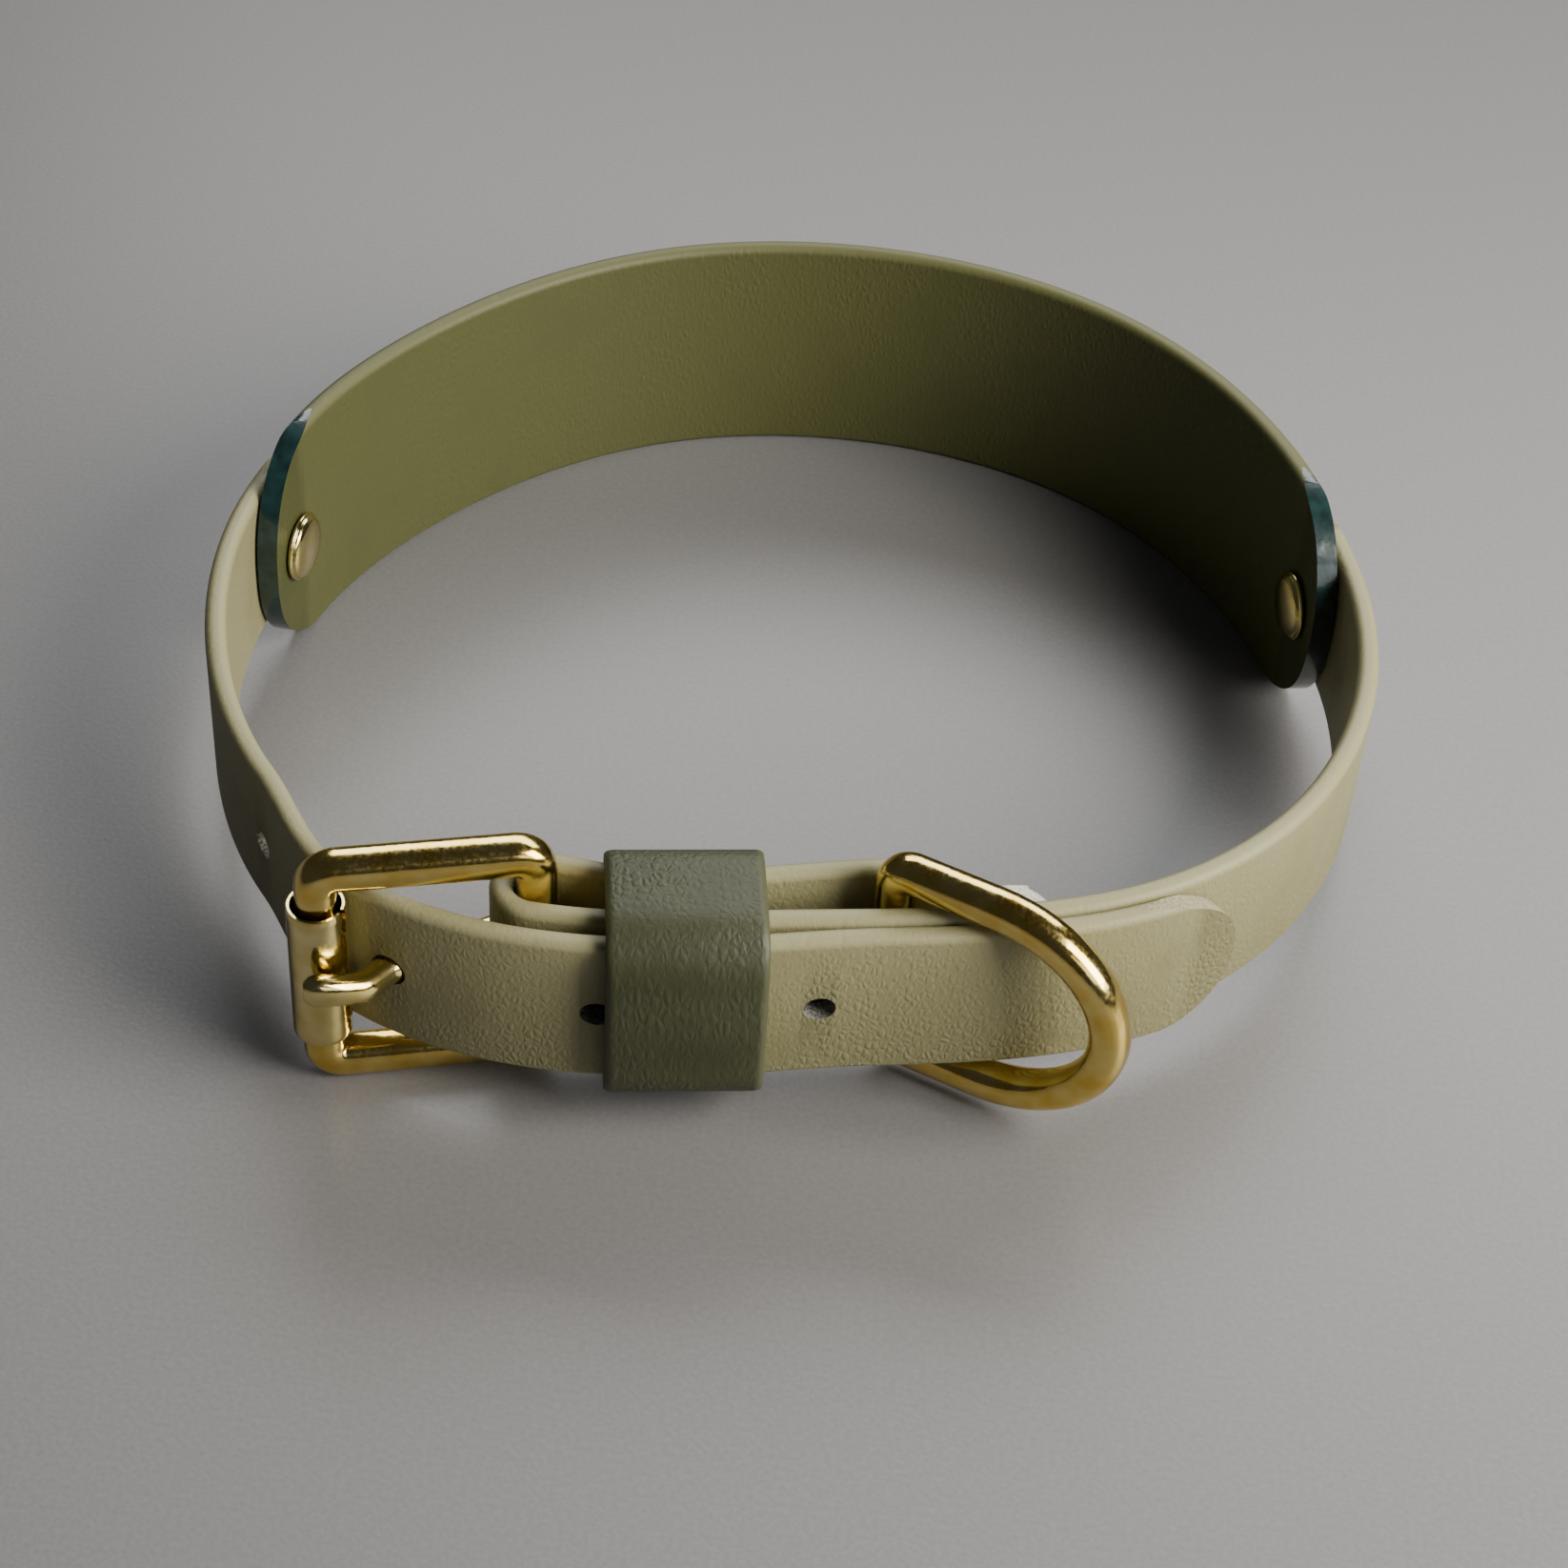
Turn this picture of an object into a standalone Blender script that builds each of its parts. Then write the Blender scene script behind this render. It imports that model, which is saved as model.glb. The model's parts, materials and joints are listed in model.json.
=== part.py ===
"""A small dog collar of coated webbing, fastened and standing on its edge.

A wide panel closes the back of the loop. Two narrow straps are riveted to its
ends and meet in front in a roller buckle, with a keeper loop and a D-ring.
Metres, +Z up. The loop is laid out in plan as lines of points, and every strap
is a sheet stood on its own line.
"""
import math
from collections import namedtuple

import bmesh
import bpy
import numpy as np
from mathutils import Matrix, Vector

MM = 0.001

# Fits: the air between two pieces that touch or slide on each other
GAP = 0.3 * MM

# The loop that the straps' centre lines follow, seen from above
LOOP_WIDTH = 109.7 * MM
LOOP_DEPTH = 103.0 * MM
Station = namedtuple("Station", "across along")
# Shares of half the width and half the depth, from the middle of the back round by the left
LOOP_SHAPE = [
    Station(0.001, 1.0),
    Station(-0.286, 0.944),
    Station(-0.540, 0.798),
    Station(-0.750, 0.585),
    Station(-0.913, 0.320),
    Station(-0.995, 0.003),
    Station(-0.977, -0.335),
    Station(-0.860, -0.663),
    Station(-0.624, -0.913),
    Station(-0.305, -1.0),
    Station(0.001, -0.974),
    Station(0.288, -0.936),
    Station(0.582, -0.848),
    Station(0.829, -0.637),
    Station(0.969, -0.332),
    Station(0.997, 0.003),
    Station(0.929, 0.325),
    Station(0.785, 0.610),
    Station(0.567, 0.833),
    Station(0.294, 0.964),
]

# The wide panel at the back
PANEL_HEIGHT = 25.0 * MM
PANEL_THICKNESS = 2.0 * MM
PANEL_LENGTH = 154.0 * MM
PANEL_END_RADIUS = 12.0 * MM

# The straps
STRAP_WIDTH = 16.0 * MM
STRAP_THICKNESS = 2.0 * MM
STRAP_END_RADIUS = 8.0 * MM
TIP_RADIUS = 10.0 * MM
EDGE_ROUNDING = 0.5 * MM
HOLE_DIAMETER = 2.8 * MM
HOLE_PITCH = 19.0 * MM
HOLES_BEFORE_PRONG = 1
HOLES_AFTER_PRONG = 2
FREE_END = 76.0 * MM

# Rivets at the panel's ends and in the folded strap
RIVET_INSET = 6.0 * MM
RIVET_CAP = 7.0 * MM
RIVET_DOME = 1.3 * MM
RIVET_CAP_EDGE = 0.4 * MM
RIVET_POST = 3.0 * MM
FOLD_RIVET_CAP = 6.0 * MM
FOLD_RIVET_HEAD = 5.0 * MM
FOLD_RIVET_HEAD_DEPTH = 0.6 * MM

# The buckle
BUCKLE_REACH = 115.0 * MM
FRAME_HEIGHT = 26.0 * MM
FRAME_WIRE = 3.6 * MM
FRAME_CORNER = 2.75 * MM
BAR_SPACING = 18.8 * MM
BUCKLE_TILT = math.radians(19.5)
ROLLER_DIAMETER = 5.2 * MM
ROLLER_WALL = 0.5 * MM
ROLLER_END_PLAY = 0.5 * MM
PRONG_WIRE = 2.6 * MM
PRONG_WRAP = math.radians(235.0)
PRONG_OVERHANG = 1.6 * MM
PRONG_LAY_SLACK = 0.3 * MM
PRONG_TIP_THIN = 0.6
Bend = namedtuple("Bend", "reach drop")
# The prong before its hole: shares of the way to the hole, and of the eye's radius inward
PRONG_NEAR_BENDS = [Bend(0.38, 0.62), Bend(0.80, 0.02)]
# The prong at and past its hole: shares of the way on to the roller, and of the roller's rise
PRONG_FAR_BENDS = [Bend(0.0, 0.26), Bend(0.48, 0.82), Bend(1.0, 1.0)]
# The prong leans up in its slot, so its tip lies above the buckle's middle
PRONG_LIFT = 1.4 * MM

# The keeper
KEEPER_FROM_HEEL = 13.4 * MM
KEEPER_WIDTH = 13.8 * MM
KEEPER_WALL = 1.8 * MM
KEEPER_CORNER = 2.6 * MM
KEEPER_ROUNDING = 0.6 * MM
FOLD_AT_KEEPER = 5.0 * MM

# The D-ring
DEE_FROM_HEEL = 31.6 * MM
DEE_HEIGHT = 24.2 * MM
DEE_WIRE = 3.6 * MM
DEE_REACH = 21.2 * MM
DEE_ARM = 9.4 * MM
DEE_CORNER = 2.6 * MM
LEAN_LIMIT = math.radians(80.0)
LEAN_STEP = math.radians(0.5)

# The end of the folded strap, behind the D-ring
FOLD_RIVET_FROM_DEE = 10.8 * MM
TAIL_PAST_RIVET = 4.6 * MM
TAIL_END_RADIUS = 7.0 * MM

# How the long strap comes off the loop's line on its way out through the buckle
BUCKLE_LEAD = 15.0 * MM
DEE_RUN_OUT = 9.0 * MM
LIFT_RUN = 42.0 * MM

# Fineness of the meshes
LINE_STEP = 0.25 * MM
SECTION_STEP = 2.6 * MM
END_SECTIONS = 8
END_FLAT = 0.9 * MM
EDGE_STEPS = 2
HOLE_SIDES = 16
ROUND_SIDES = 28
DOME_STEPS = 5
CORNER_STEPS = 6
BOW_STEPS = 21
WRAP_STEPS = 17
KEEPER_CHECKS = 15
FOLD_STEPS = 40
PRONG_STEPS = 25
SMOOTH_TO = math.radians(40)

# Sizes that follow from the ones above
LAY = STRAP_THICKNESS + GAP
PANEL_INSET = (PANEL_THICKNESS + STRAP_THICKNESS) / 2 + GAP
BAR_RADIUS = FRAME_WIRE / 2
HEEL_INSET = STRAP_THICKNESS / 2 + GAP + BAR_RADIUS
DEE_INSET = STRAP_THICKNESS / 2 + GAP + DEE_WIRE / 2
ROLLER_RADIUS = ROLLER_DIAMETER / 2
EYE_RADIUS = BAR_RADIUS + GAP + PRONG_WIRE / 2
EYE_CLEAR = EYE_RADIUS + PRONG_WIRE / 2 + GAP
PANEL_MIDDLE = PANEL_HEIGHT / 2
FRONT_MIDDLE = max(FRAME_HEIGHT, DEE_HEIGHT, PANEL_HEIGHT) / 2


# Lines in plan

class Line:
    """A line of points in plan, read by the length along it."""

    def __init__(self, points):
        self.points = np.asarray(points)
        steps = np.linalg.norm(np.diff(self.points, axis=0), axis=1)
        self.along = np.concatenate([[0.0], np.cumsum(steps)])
        self.length = self.along[-1]

    def point(self, s):
        x = np.interp(s, self.along, self.points[:, 0])
        y = np.interp(s, self.along, self.points[:, 1])
        return np.stack([x, y], axis=-1)

    def tangent(self, s):
        reach = 2 * LINE_STEP
        ahead = self.point(np.minimum(s + reach, self.length))
        behind = self.point(np.maximum(s - reach, 0.0))
        run = ahead - behind
        return run / np.linalg.norm(run, axis=-1, keepdims=True)

    def outward(self, s):
        run = self.tangent(s)
        return np.stack([run[..., 1], -run[..., 0]], axis=-1)

    def nearest(self, place):
        gaps = np.linalg.norm(self.points - place, axis=1)
        return self.along[int(np.argmin(gaps))]

    def offset(self, distance):
        return Line(self.points + self.outward(self.along) * np.reshape(distance, (-1, 1)))

    def part(self, start, end):
        count = max(2, int(abs(end - start) / LINE_STEP))
        return self.point(np.linspace(start, end, count))


def closed_spline(knots):
    """A closed curve with even bend through the knots: a periodic cubic spline."""
    knots = np.asarray(knots)
    count = len(knots)
    chord = np.linalg.norm(np.roll(knots, -1, axis=0) - knots, axis=1)
    before = np.roll(chord, 1)
    slope = (np.roll(knots, -1, axis=0) - knots) / chord[:, None]
    matrix = np.zeros((count, count))
    for i in range(count):
        matrix[i, i - 1] += before[i]
        matrix[i, i] += 2 * (before[i] + chord[i])
        matrix[i, (i + 1) % count] += chord[i]
    bend = np.linalg.solve(matrix, 6 * (slope - np.roll(slope, 1, axis=0)))
    pieces = []
    for i in range(count):
        j = (i + 1) % count
        span = chord[i]
        t = np.linspace(0, span, max(2, int(span / LINE_STEP)), endpoint=False)[:, None]
        left, right = span - t, t
        pieces.append((bend[i] * left**3 + bend[j] * right**3) / (6 * span)
                      + (knots[i] / span - bend[i] * span / 6) * left
                      + (knots[j] / span - bend[j] * span / 6) * right)
    points = np.concatenate(pieces)
    return np.vstack([points, points[:1]])


def smooth_table(stations, values, s):
    """Reads a short table smoothly, without swinging past its rows."""
    x, y = np.asarray(stations), np.asarray(values)
    step = np.diff(x)
    slope = np.diff(y) / step
    bend = np.zeros(len(x))
    for i in range(1, len(x) - 1):
        if slope[i - 1] * slope[i] > 0:
            near, far = 2 * step[i] + step[i - 1], step[i] + 2 * step[i - 1]
            bend[i] = (near + far) / (near / slope[i - 1] + far / slope[i])
    s = np.clip(s, x[0], x[-1])
    i = np.clip(np.searchsorted(x, s, side="right") - 1, 0, len(x) - 2)
    t = (s - x[i]) / step[i]
    rise = (2 * t**3 - 3 * t**2 + 1) * y[i] + (3 * t**2 - 2 * t**3) * y[i + 1]
    turn = (t**3 - 2 * t**2 + t) * bend[i] + (t**3 - t**2) * bend[i + 1]
    return rise + turn * step[i]


# Stations along the loop

loop = Line(closed_spline([(row.across * LOOP_WIDTH / 2, row.along * LOOP_DEPTH / 2)
                           for row in LOOP_SHAPE]))

# The panel lies inside the straps' line, and runs through the loop's start
inner = loop.offset(np.full(len(loop.points), -PANEL_INSET))
panel_ring = Line(np.vstack([inner.points[:-1], inner.points]))
panel_start = inner.length - PANEL_LENGTH / 2
panel_line = Line(panel_ring.part(panel_start, panel_start + PANEL_LENGTH))
left_rivet_at = loop.nearest(panel_line.point(PANEL_LENGTH - RIVET_INSET)
                             + panel_line.outward(PANEL_LENGTH - RIVET_INSET) * PANEL_INSET)
right_rivet_at = loop.nearest(panel_line.point(RIVET_INSET)
                              + panel_line.outward(RIVET_INSET) * PANEL_INSET)

heel_at = right_rivet_at - BUCKLE_REACH
keeper_at = heel_at + KEEPER_FROM_HEEL
dee_at = heel_at + DEE_FROM_HEEL
fold_rivet_at = dee_at + FOLD_RIVET_FROM_DEE
tail_end_at = fold_rivet_at + TAIL_PAST_RIVET

heel = loop.point(heel_at) - loop.outward(heel_at) * HEEL_INSET
frame_run = (-loop.tangent(heel_at) * math.cos(BUCKLE_TILT)
             + loop.outward(heel_at) * math.sin(BUCKLE_TILT))
frame_out = np.array([-frame_run[1], frame_run[0]])
roller = heel + frame_run * BAR_SPACING
roller_at = loop.nearest(roller)
roller_off = np.linalg.norm(roller - loop.point(roller_at))

# How far outside the loop's line the long strap runs
rise_at_roller = roller_off - (ROLLER_RADIUS + GAP + STRAP_THICKNESS / 2)
rise_at_heel = EYE_CLEAR + PRONG_LAY_SLACK + STRAP_THICKNESS / 2 - HEEL_INSET
strap_rise = smooth_table(
    [0.0, roller_at - BUCKLE_LEAD, roller_at, heel_at, keeper_at, dee_at,
     dee_at + DEE_RUN_OUT, loop.length],
    [0.0, 0.0, rise_at_roller, rise_at_heel, rise_at_heel, LAY, LAY, LAY], loop.along)
outer_ring = loop.offset(strap_rise)

# The folded end comes back inside the loop's line, round the heel bar and the ring's bar
fold_depth = smooth_table(
    [0.0, heel_at, keeper_at, dee_at, fold_rivet_at - FOLD_RIVET_CAP / 2, loop.length],
    [2 * HEEL_INSET, 2 * HEEL_INSET, FOLD_AT_KEEPER, 2 * DEE_INSET, LAY, LAY], loop.along)
tail_ring = loop.offset(-fold_depth)


def middle_height(s):
    """The straps' middle at a station: level with the panel at the rivets, raised in front."""
    stations = [left_rivet_at, left_rivet_at + LIFT_RUN, right_rivet_at - LIFT_RUN, right_rivet_at]
    heights = [PANEL_MIDDLE, FRONT_MIDDLE, FRONT_MIDDLE, PANEL_MIDDLE]
    return smooth_table(stations, heights, s)


# Helpers that make objects

def material(name, colour, roughness, metallic=0.0):
    finish = bpy.data.materials.new(name)
    finish.use_nodes = True
    shader = finish.node_tree.nodes["Principled BSDF"]
    shader.inputs["Base Color"].default_value = (*colour, 1.0)
    shader.inputs["Roughness"].default_value = roughness
    shader.inputs["Metallic"].default_value = metallic
    return finish


def add_object(name, data, finish, collection, parent):
    piece = bpy.data.objects.new(name, data)
    if finish:
        piece.data.materials.append(finish)
    collection.objects.link(piece)
    piece.parent = parent
    return piece


def mesh_from(name, bm):
    mesh = bpy.data.meshes.new(name)
    bm.to_mesh(mesh)
    bm.free()
    return mesh


def round_off(distance, radius):
    """How far a round corner has fallen back at a distance from its end."""
    if distance >= radius:
        return 0.0
    return radius - math.sqrt(radius**2 - (radius - distance)**2)


def end_stations(radius):
    """Distances from a strip's end at which its round end is drawn."""
    turn = np.linspace(0, math.pi / 2, END_SECTIONS + 1)
    return [0.0, EDGE_ROUNDING * 0.35] + list(EDGE_ROUNDING + radius * (1 - np.cos(turn[1:])))


def section(place, outward, middle, half_width, half_wall, corner):
    """One section of a strip: a rectangle with round corners, stood across its line."""
    ring = []
    for quarter in range(4):
        across = (1, -1, -1, 1)[quarter] * (half_wall - corner)
        up = (1, 1, -1, -1)[quarter] * (half_width - corner)
        for turn in np.linspace(0, math.pi / 2, EDGE_STEPS + 1) + quarter * math.pi / 2:
            a = across + corner * math.cos(turn)
            ring.append((place[0] + outward[0] * a, place[1] + outward[1] * a,
                         middle + up + corner * math.sin(turn)))
    return ring


def strip(name, line, width, thickness, height, radii, finish, collection, parent):
    """A strap lofted along a line in plan, with round edges and round ends."""
    first, last = end_stations(radii[0]), end_stations(radii[1])
    run = line.length - first[-1] - last[-1]
    count = int(round(run / SECTION_STEP))
    middle = list(first[-1] + np.linspace(0, run, count + 1)[1:-1])
    places = first + middle + [line.length - d for d in reversed(last)]
    bm = bmesh.new()
    previous = None
    for s in places:
        wall, half = thickness / 2, width / 2
        for distance, radius in ((s, radii[0]), (line.length - s, radii[1])):
            wall -= round_off(distance, EDGE_ROUNDING)
            share = round_off(max(distance - EDGE_ROUNDING, 0.0), radius) / radius
            half -= share * min(radius, width / 2 - END_FLAT)
        corner = min(EDGE_ROUNDING, wall * 0.9)
        ring = [bm.verts.new(place) for place in
                section(line.point(s), line.outward(s), height(s), half, wall, corner)]
        for i in range(len(ring)):
            j = (i + 1) % len(ring)
            if previous:
                bm.faces.new((previous[i], previous[j], ring[j], ring[i]))
        if not previous:
            bm.faces.new(ring[::-1])
        previous = ring
    bm.faces.new(previous)
    bmesh.ops.recalc_face_normals(bm, faces=bm.faces)
    mesh = mesh_from(name, bm)
    mesh.shade_smooth()
    mesh.set_sharp_from_angle(angle=SMOOTH_TO)
    return add_object(name, mesh, finish, collection, parent)


def tube(name, path, radius, closed, finish, collection, parent, thickness=None):
    """A round wire along a path of 3-D points."""
    curve = bpy.data.curves.new(name, "CURVE")
    curve.dimensions = "3D"
    curve.bevel_depth = radius
    curve.bevel_resolution = 3
    curve.use_fill_caps = not closed
    spline = curve.splines.new("POLY")
    spline.points.add(len(path) - 1)
    for i, place in enumerate(path):
        spline.points[i].co = (*place, 1.0)
        spline.points[i].radius = thickness[i] if thickness is not None else 1.0
    spline.use_cyclic_u = closed
    spline.use_smooth = True
    return add_object(name, curve, finish, collection, parent)


def turned(name, profile, finish, collection, parent, sides=ROUND_SIDES):
    """A turned piece about its own Z axis: the profile runs down its outer side."""
    mesh = bpy.data.meshes.new(name)
    points = [(r, 0.0, z) for r, z in profile]
    edges = [(i, i + 1) for i in range(len(points) - 1)]
    if profile[0][0] > 0:
        edges.append((len(points) - 1, 0))
    mesh.from_pydata(points, edges, [])
    piece = add_object(name, mesh, finish, collection, parent)
    turn = piece.modifiers.new("turned", "SCREW")
    turn.steps = turn.render_steps = sides
    turn.use_merge_vertices = True
    turn.merge_threshold = 0.01 * MM
    turn.use_smooth_shade = True
    return piece


def cut(piece, cutter, name):
    """Cuts a hole or slot, and keeps the cutter out of sight."""
    cutter.hide_render = True
    cutter.display_type = "WIRE"
    hole = piece.modifiers.new(name, "BOOLEAN")
    hole.operation = "DIFFERENCE"
    hole.solver = "EXACT"
    hole.object = cutter


def facing(place, direction, height):
    """A frame whose Z axis points along a direction in plan, with its X axis along the strap."""
    outward = Vector((direction[0], direction[1], 0)).normalized()
    up = Vector((0, 0, 1))
    side = up.cross(outward)
    turn = Matrix((side, up, outward)).transposed().to_4x4()
    return Matrix.Translation((place[0], place[1], height)) @ turn


def peg(name, place, direction, height, diameter, depth, parent, sides=HOLE_SIDES):
    """A round cutter across a strap."""
    bm = bmesh.new()
    bmesh.ops.create_cone(bm, cap_ends=True, segments=sides, radius1=diameter / 2,
                          radius2=diameter / 2, depth=depth)
    cutter = add_object(name, mesh_from(name, bm), None, cutters, parent)
    cutter.matrix_local = facing(place, direction, height)
    return cutter


def block(name, place, direction, height, size, parent):
    """A square cutter: size is along the strap, up, and across its wall."""
    bm = bmesh.new()
    bmesh.ops.create_cube(bm, size=1.0)
    bmesh.ops.scale(bm, vec=Vector(size), verts=bm.verts)
    cutter = add_object(name, mesh_from(name, bm), None, cutters, parent)
    cutter.matrix_local = facing(place, direction, height)
    return cutter


def mesh_of(piece):
    """Turns a curve object into a mesh object with its caps welded."""
    bpy.context.view_layer.update()
    ready = piece.evaluated_get(bpy.context.evaluated_depsgraph_get())
    mesh = bpy.data.meshes.new_from_object(ready)
    bm = bmesh.new()
    bm.from_mesh(mesh)
    bmesh.ops.remove_doubles(bm, verts=bm.verts, dist=0.001 * MM)
    bm.to_mesh(mesh)
    bm.free()
    name, parent, place = piece.name, piece.parent, piece.matrix_world.copy()
    home = piece.users_collection[0]
    bpy.data.objects.remove(piece)
    solid = bpy.data.objects.new(name, mesh)
    home.objects.link(solid)
    solid.parent = parent
    solid.matrix_world = place
    return solid


# The scene and the finishes

for old in list(bpy.data.objects):
    bpy.data.objects.remove(old, do_unlink=True)

model = bpy.data.collections.new("dog_collar")
cutters = bpy.data.collections.new("cutters")
bpy.context.scene.collection.children.link(model)
bpy.context.scene.collection.children.link(cutters)
origin = bpy.data.objects.new("collar_origin", None)
model.objects.link(origin)

olive = material("olive coated webbing", (0.075, 0.072, 0.022), 0.55)
khaki = material("khaki coated webbing", (0.31, 0.27, 0.15), 0.6)
dark_olive = material("dark olive coated webbing", (0.085, 0.08, 0.04), 0.5)
brass = material("gold plated brass", (0.66, 0.44, 0.12), 0.25, 1.0)


# The panel and its rivets

def make_panel():
    return strip("back_panel", panel_line, PANEL_HEIGHT, PANEL_THICKNESS, lambda s: PANEL_MIDDLE,
                 (PANEL_END_RADIUS, PANEL_END_RADIUS), olive, model, origin)


def dome(radius):
    """The outline of a domed cap, from its middle out to its edge: radius and height."""
    rise = RIVET_DOME - RIVET_CAP_EDGE
    return [(radius * math.sin(a), RIVET_CAP_EDGE + rise * math.cos(a))
            for a in np.linspace(0, math.pi / 2, DOME_STEPS)]


def rivet_profile(grip_low, grip_high):
    """A domed cap, a post and a second cap, gripping from one height to the other."""
    cap, post = RIVET_CAP / 2, RIVET_POST / 2
    top = [(r, grip_high + z) for r, z in dome(cap)]
    bottom = [(r, grip_low - z) for r, z in reversed(dome(cap))]
    return (top + [(cap, grip_high), (post, grip_high), (post, grip_low), (cap, grip_low)]
            + bottom)


def make_end_rivet(name, at):
    """Joins strap and panel: the strap lies outside, the panel inside."""
    high = STRAP_THICKNESS / 2 + GAP
    low = -(PANEL_INSET + PANEL_THICKNESS / 2 + GAP)
    rivet = turned(name, rivet_profile(low, high), brass, model, origin)
    rivet.matrix_local = facing(loop.point(at), loop.outward(at), PANEL_MIDDLE)
    return rivet


def rivet_hole(name, at, height):
    deep = 6 * (PANEL_THICKNESS + STRAP_THICKNESS)
    return peg(name, loop.point(at), loop.outward(at), height, RIVET_POST + 2 * GAP, deep, origin)


# The prong's path, and the place where it comes through the long strap

def prong_hole_station():
    """Where the long strap crosses the line between the frame's bars."""
    across = (outer_ring.points - heel) @ frame_out
    near = np.where((outer_ring.along > roller_station()) & (outer_ring.along < heel_station()))[0]
    crossing = near[int(np.argmin(np.abs(across[near])))]
    return outer_ring.along[crossing]


def roller_station():
    return outer_ring.nearest(roller)


def heel_station():
    return outer_ring.nearest(heel)


def prong_path():
    """From the eye round the heel bar, out through the strap and over the roller."""
    hole = (outer_ring.point(prong_hole_station()) - heel) @ frame_run
    over = ROLLER_RADIUS + GAP + PRONG_WIRE / 2
    wrap = [(EYE_RADIUS * math.sin(a), -EYE_RADIUS * math.cos(a))
            for a in -np.linspace(PRONG_WRAP, 0, WRAP_STEPS)]
    knots = [(0.0, -EYE_RADIUS)]
    knots += [(hole * bend.reach, -EYE_RADIUS * bend.drop) for bend in PRONG_NEAR_BENDS]
    knots += [(hole + (BAR_SPACING - hole) * bend.reach, over * bend.drop)
              for bend in PRONG_FAR_BENDS]
    knots = np.array(knots + [(BAR_SPACING + PRONG_OVERHANG, over)])
    reach = np.linspace(0, knots[-1, 0], PRONG_STEPS)[1:]
    rise = smooth_table(knots[:, 0], knots[:, 1], reach)
    plan = wrap + list(zip(reach, rise))
    lift = smooth_table([0.0, hole, knots[-1, 0]], [0.0, 0.0, PRONG_LIFT], [a for a, _ in plan])
    return [(*(heel + frame_run * a + frame_out * o), FRONT_MIDDLE + up)
            for (a, o), up in zip(plan, lift)]


# The buckle

def rounded_loop(width, height, corner):
    """A rounded rectangle about its own middle, as pairs of across and up."""
    points = []
    for quarter in range(4):
        sx = (1, -1, -1, 1)[quarter]
        sz = (1, 1, -1, -1)[quarter]
        for a in np.linspace(0, math.pi / 2, CORNER_STEPS):
            turn = a + quarter * math.pi / 2
            points.append((sx * (width / 2 - corner) + corner * math.cos(turn),
                           sz * (height / 2 - corner) + corner * math.sin(turn)))
    return points


def make_frame():
    tall = FRAME_HEIGHT - FRAME_WIRE
    outline = rounded_loop(BAR_SPACING, tall, FRAME_CORNER - BAR_RADIUS / 2)
    middle = heel + frame_run * BAR_SPACING / 2
    path = [(*(frame_run * a), z) for a, z in outline]
    frame = tube("buckle_frame", path, BAR_RADIUS, True, brass, model, origin)
    frame.location = (*middle, FRONT_MIDDLE)
    return frame


def make_roller():
    """A thin sleeve that turns on the frame's outer bar."""
    inside = ROLLER_RADIUS - ROLLER_WALL
    half = FRAME_HEIGHT / 2 - FRAME_WIRE - FRAME_CORNER / 2 - ROLLER_END_PLAY
    profile = [(ROLLER_RADIUS, half), (ROLLER_RADIUS, -half), (inside, -half), (inside, half)]
    sleeve = turned("buckle_roller", profile, brass, model, origin)
    sleeve.location = (*roller, FRONT_MIDDLE)
    return sleeve


def make_prong():
    path = prong_path()
    thick = [1.0] * (len(path) - 1) + [PRONG_TIP_THIN]
    return tube("buckle_prong", path, PRONG_WIRE / 2, False, brass, model, origin, thick)


# The straps

def make_long_strap():
    """From the left rivet round to the buckle, out through it and on to the free tip."""
    start = outer_ring.nearest(loop.point(left_rivet_at)) - STRAP_END_RADIUS
    hole = prong_hole_station()
    line = Line(outer_ring.part(start, hole + FREE_END))
    low = loop.nearest(outer_ring.point(start))

    def height(s):
        return float(middle_height(low + s))

    strap = strip("long_strap", line, STRAP_WIDTH, STRAP_THICKNESS, height,
                  (STRAP_END_RADIUS, TIP_RADIUS), khaki, model, origin)
    for step in range(-HOLES_BEFORE_PRONG, HOLES_AFTER_PRONG + 1):
        at = hole + step * HOLE_PITCH
        if step:
            name = "strap hole " + str(step)
            punch = peg(name, outer_ring.point(at), outer_ring.outward(at), height(at - start),
                        HOLE_DIAMETER, 4 * STRAP_THICKNESS, origin)
            cut(strap, punch, name)
    path = prong_path()[WRAP_STEPS - 1:]
    way = tube("prong way", path, PRONG_WIRE / 2 + GAP, False, None, cutters, origin)
    cut(strap, mesh_of(way), "prong hole")
    cut(strap, rivet_hole("left strap rivet hole", left_rivet_at, PANEL_MIDDLE), "rivet hole")
    return strap


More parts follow.
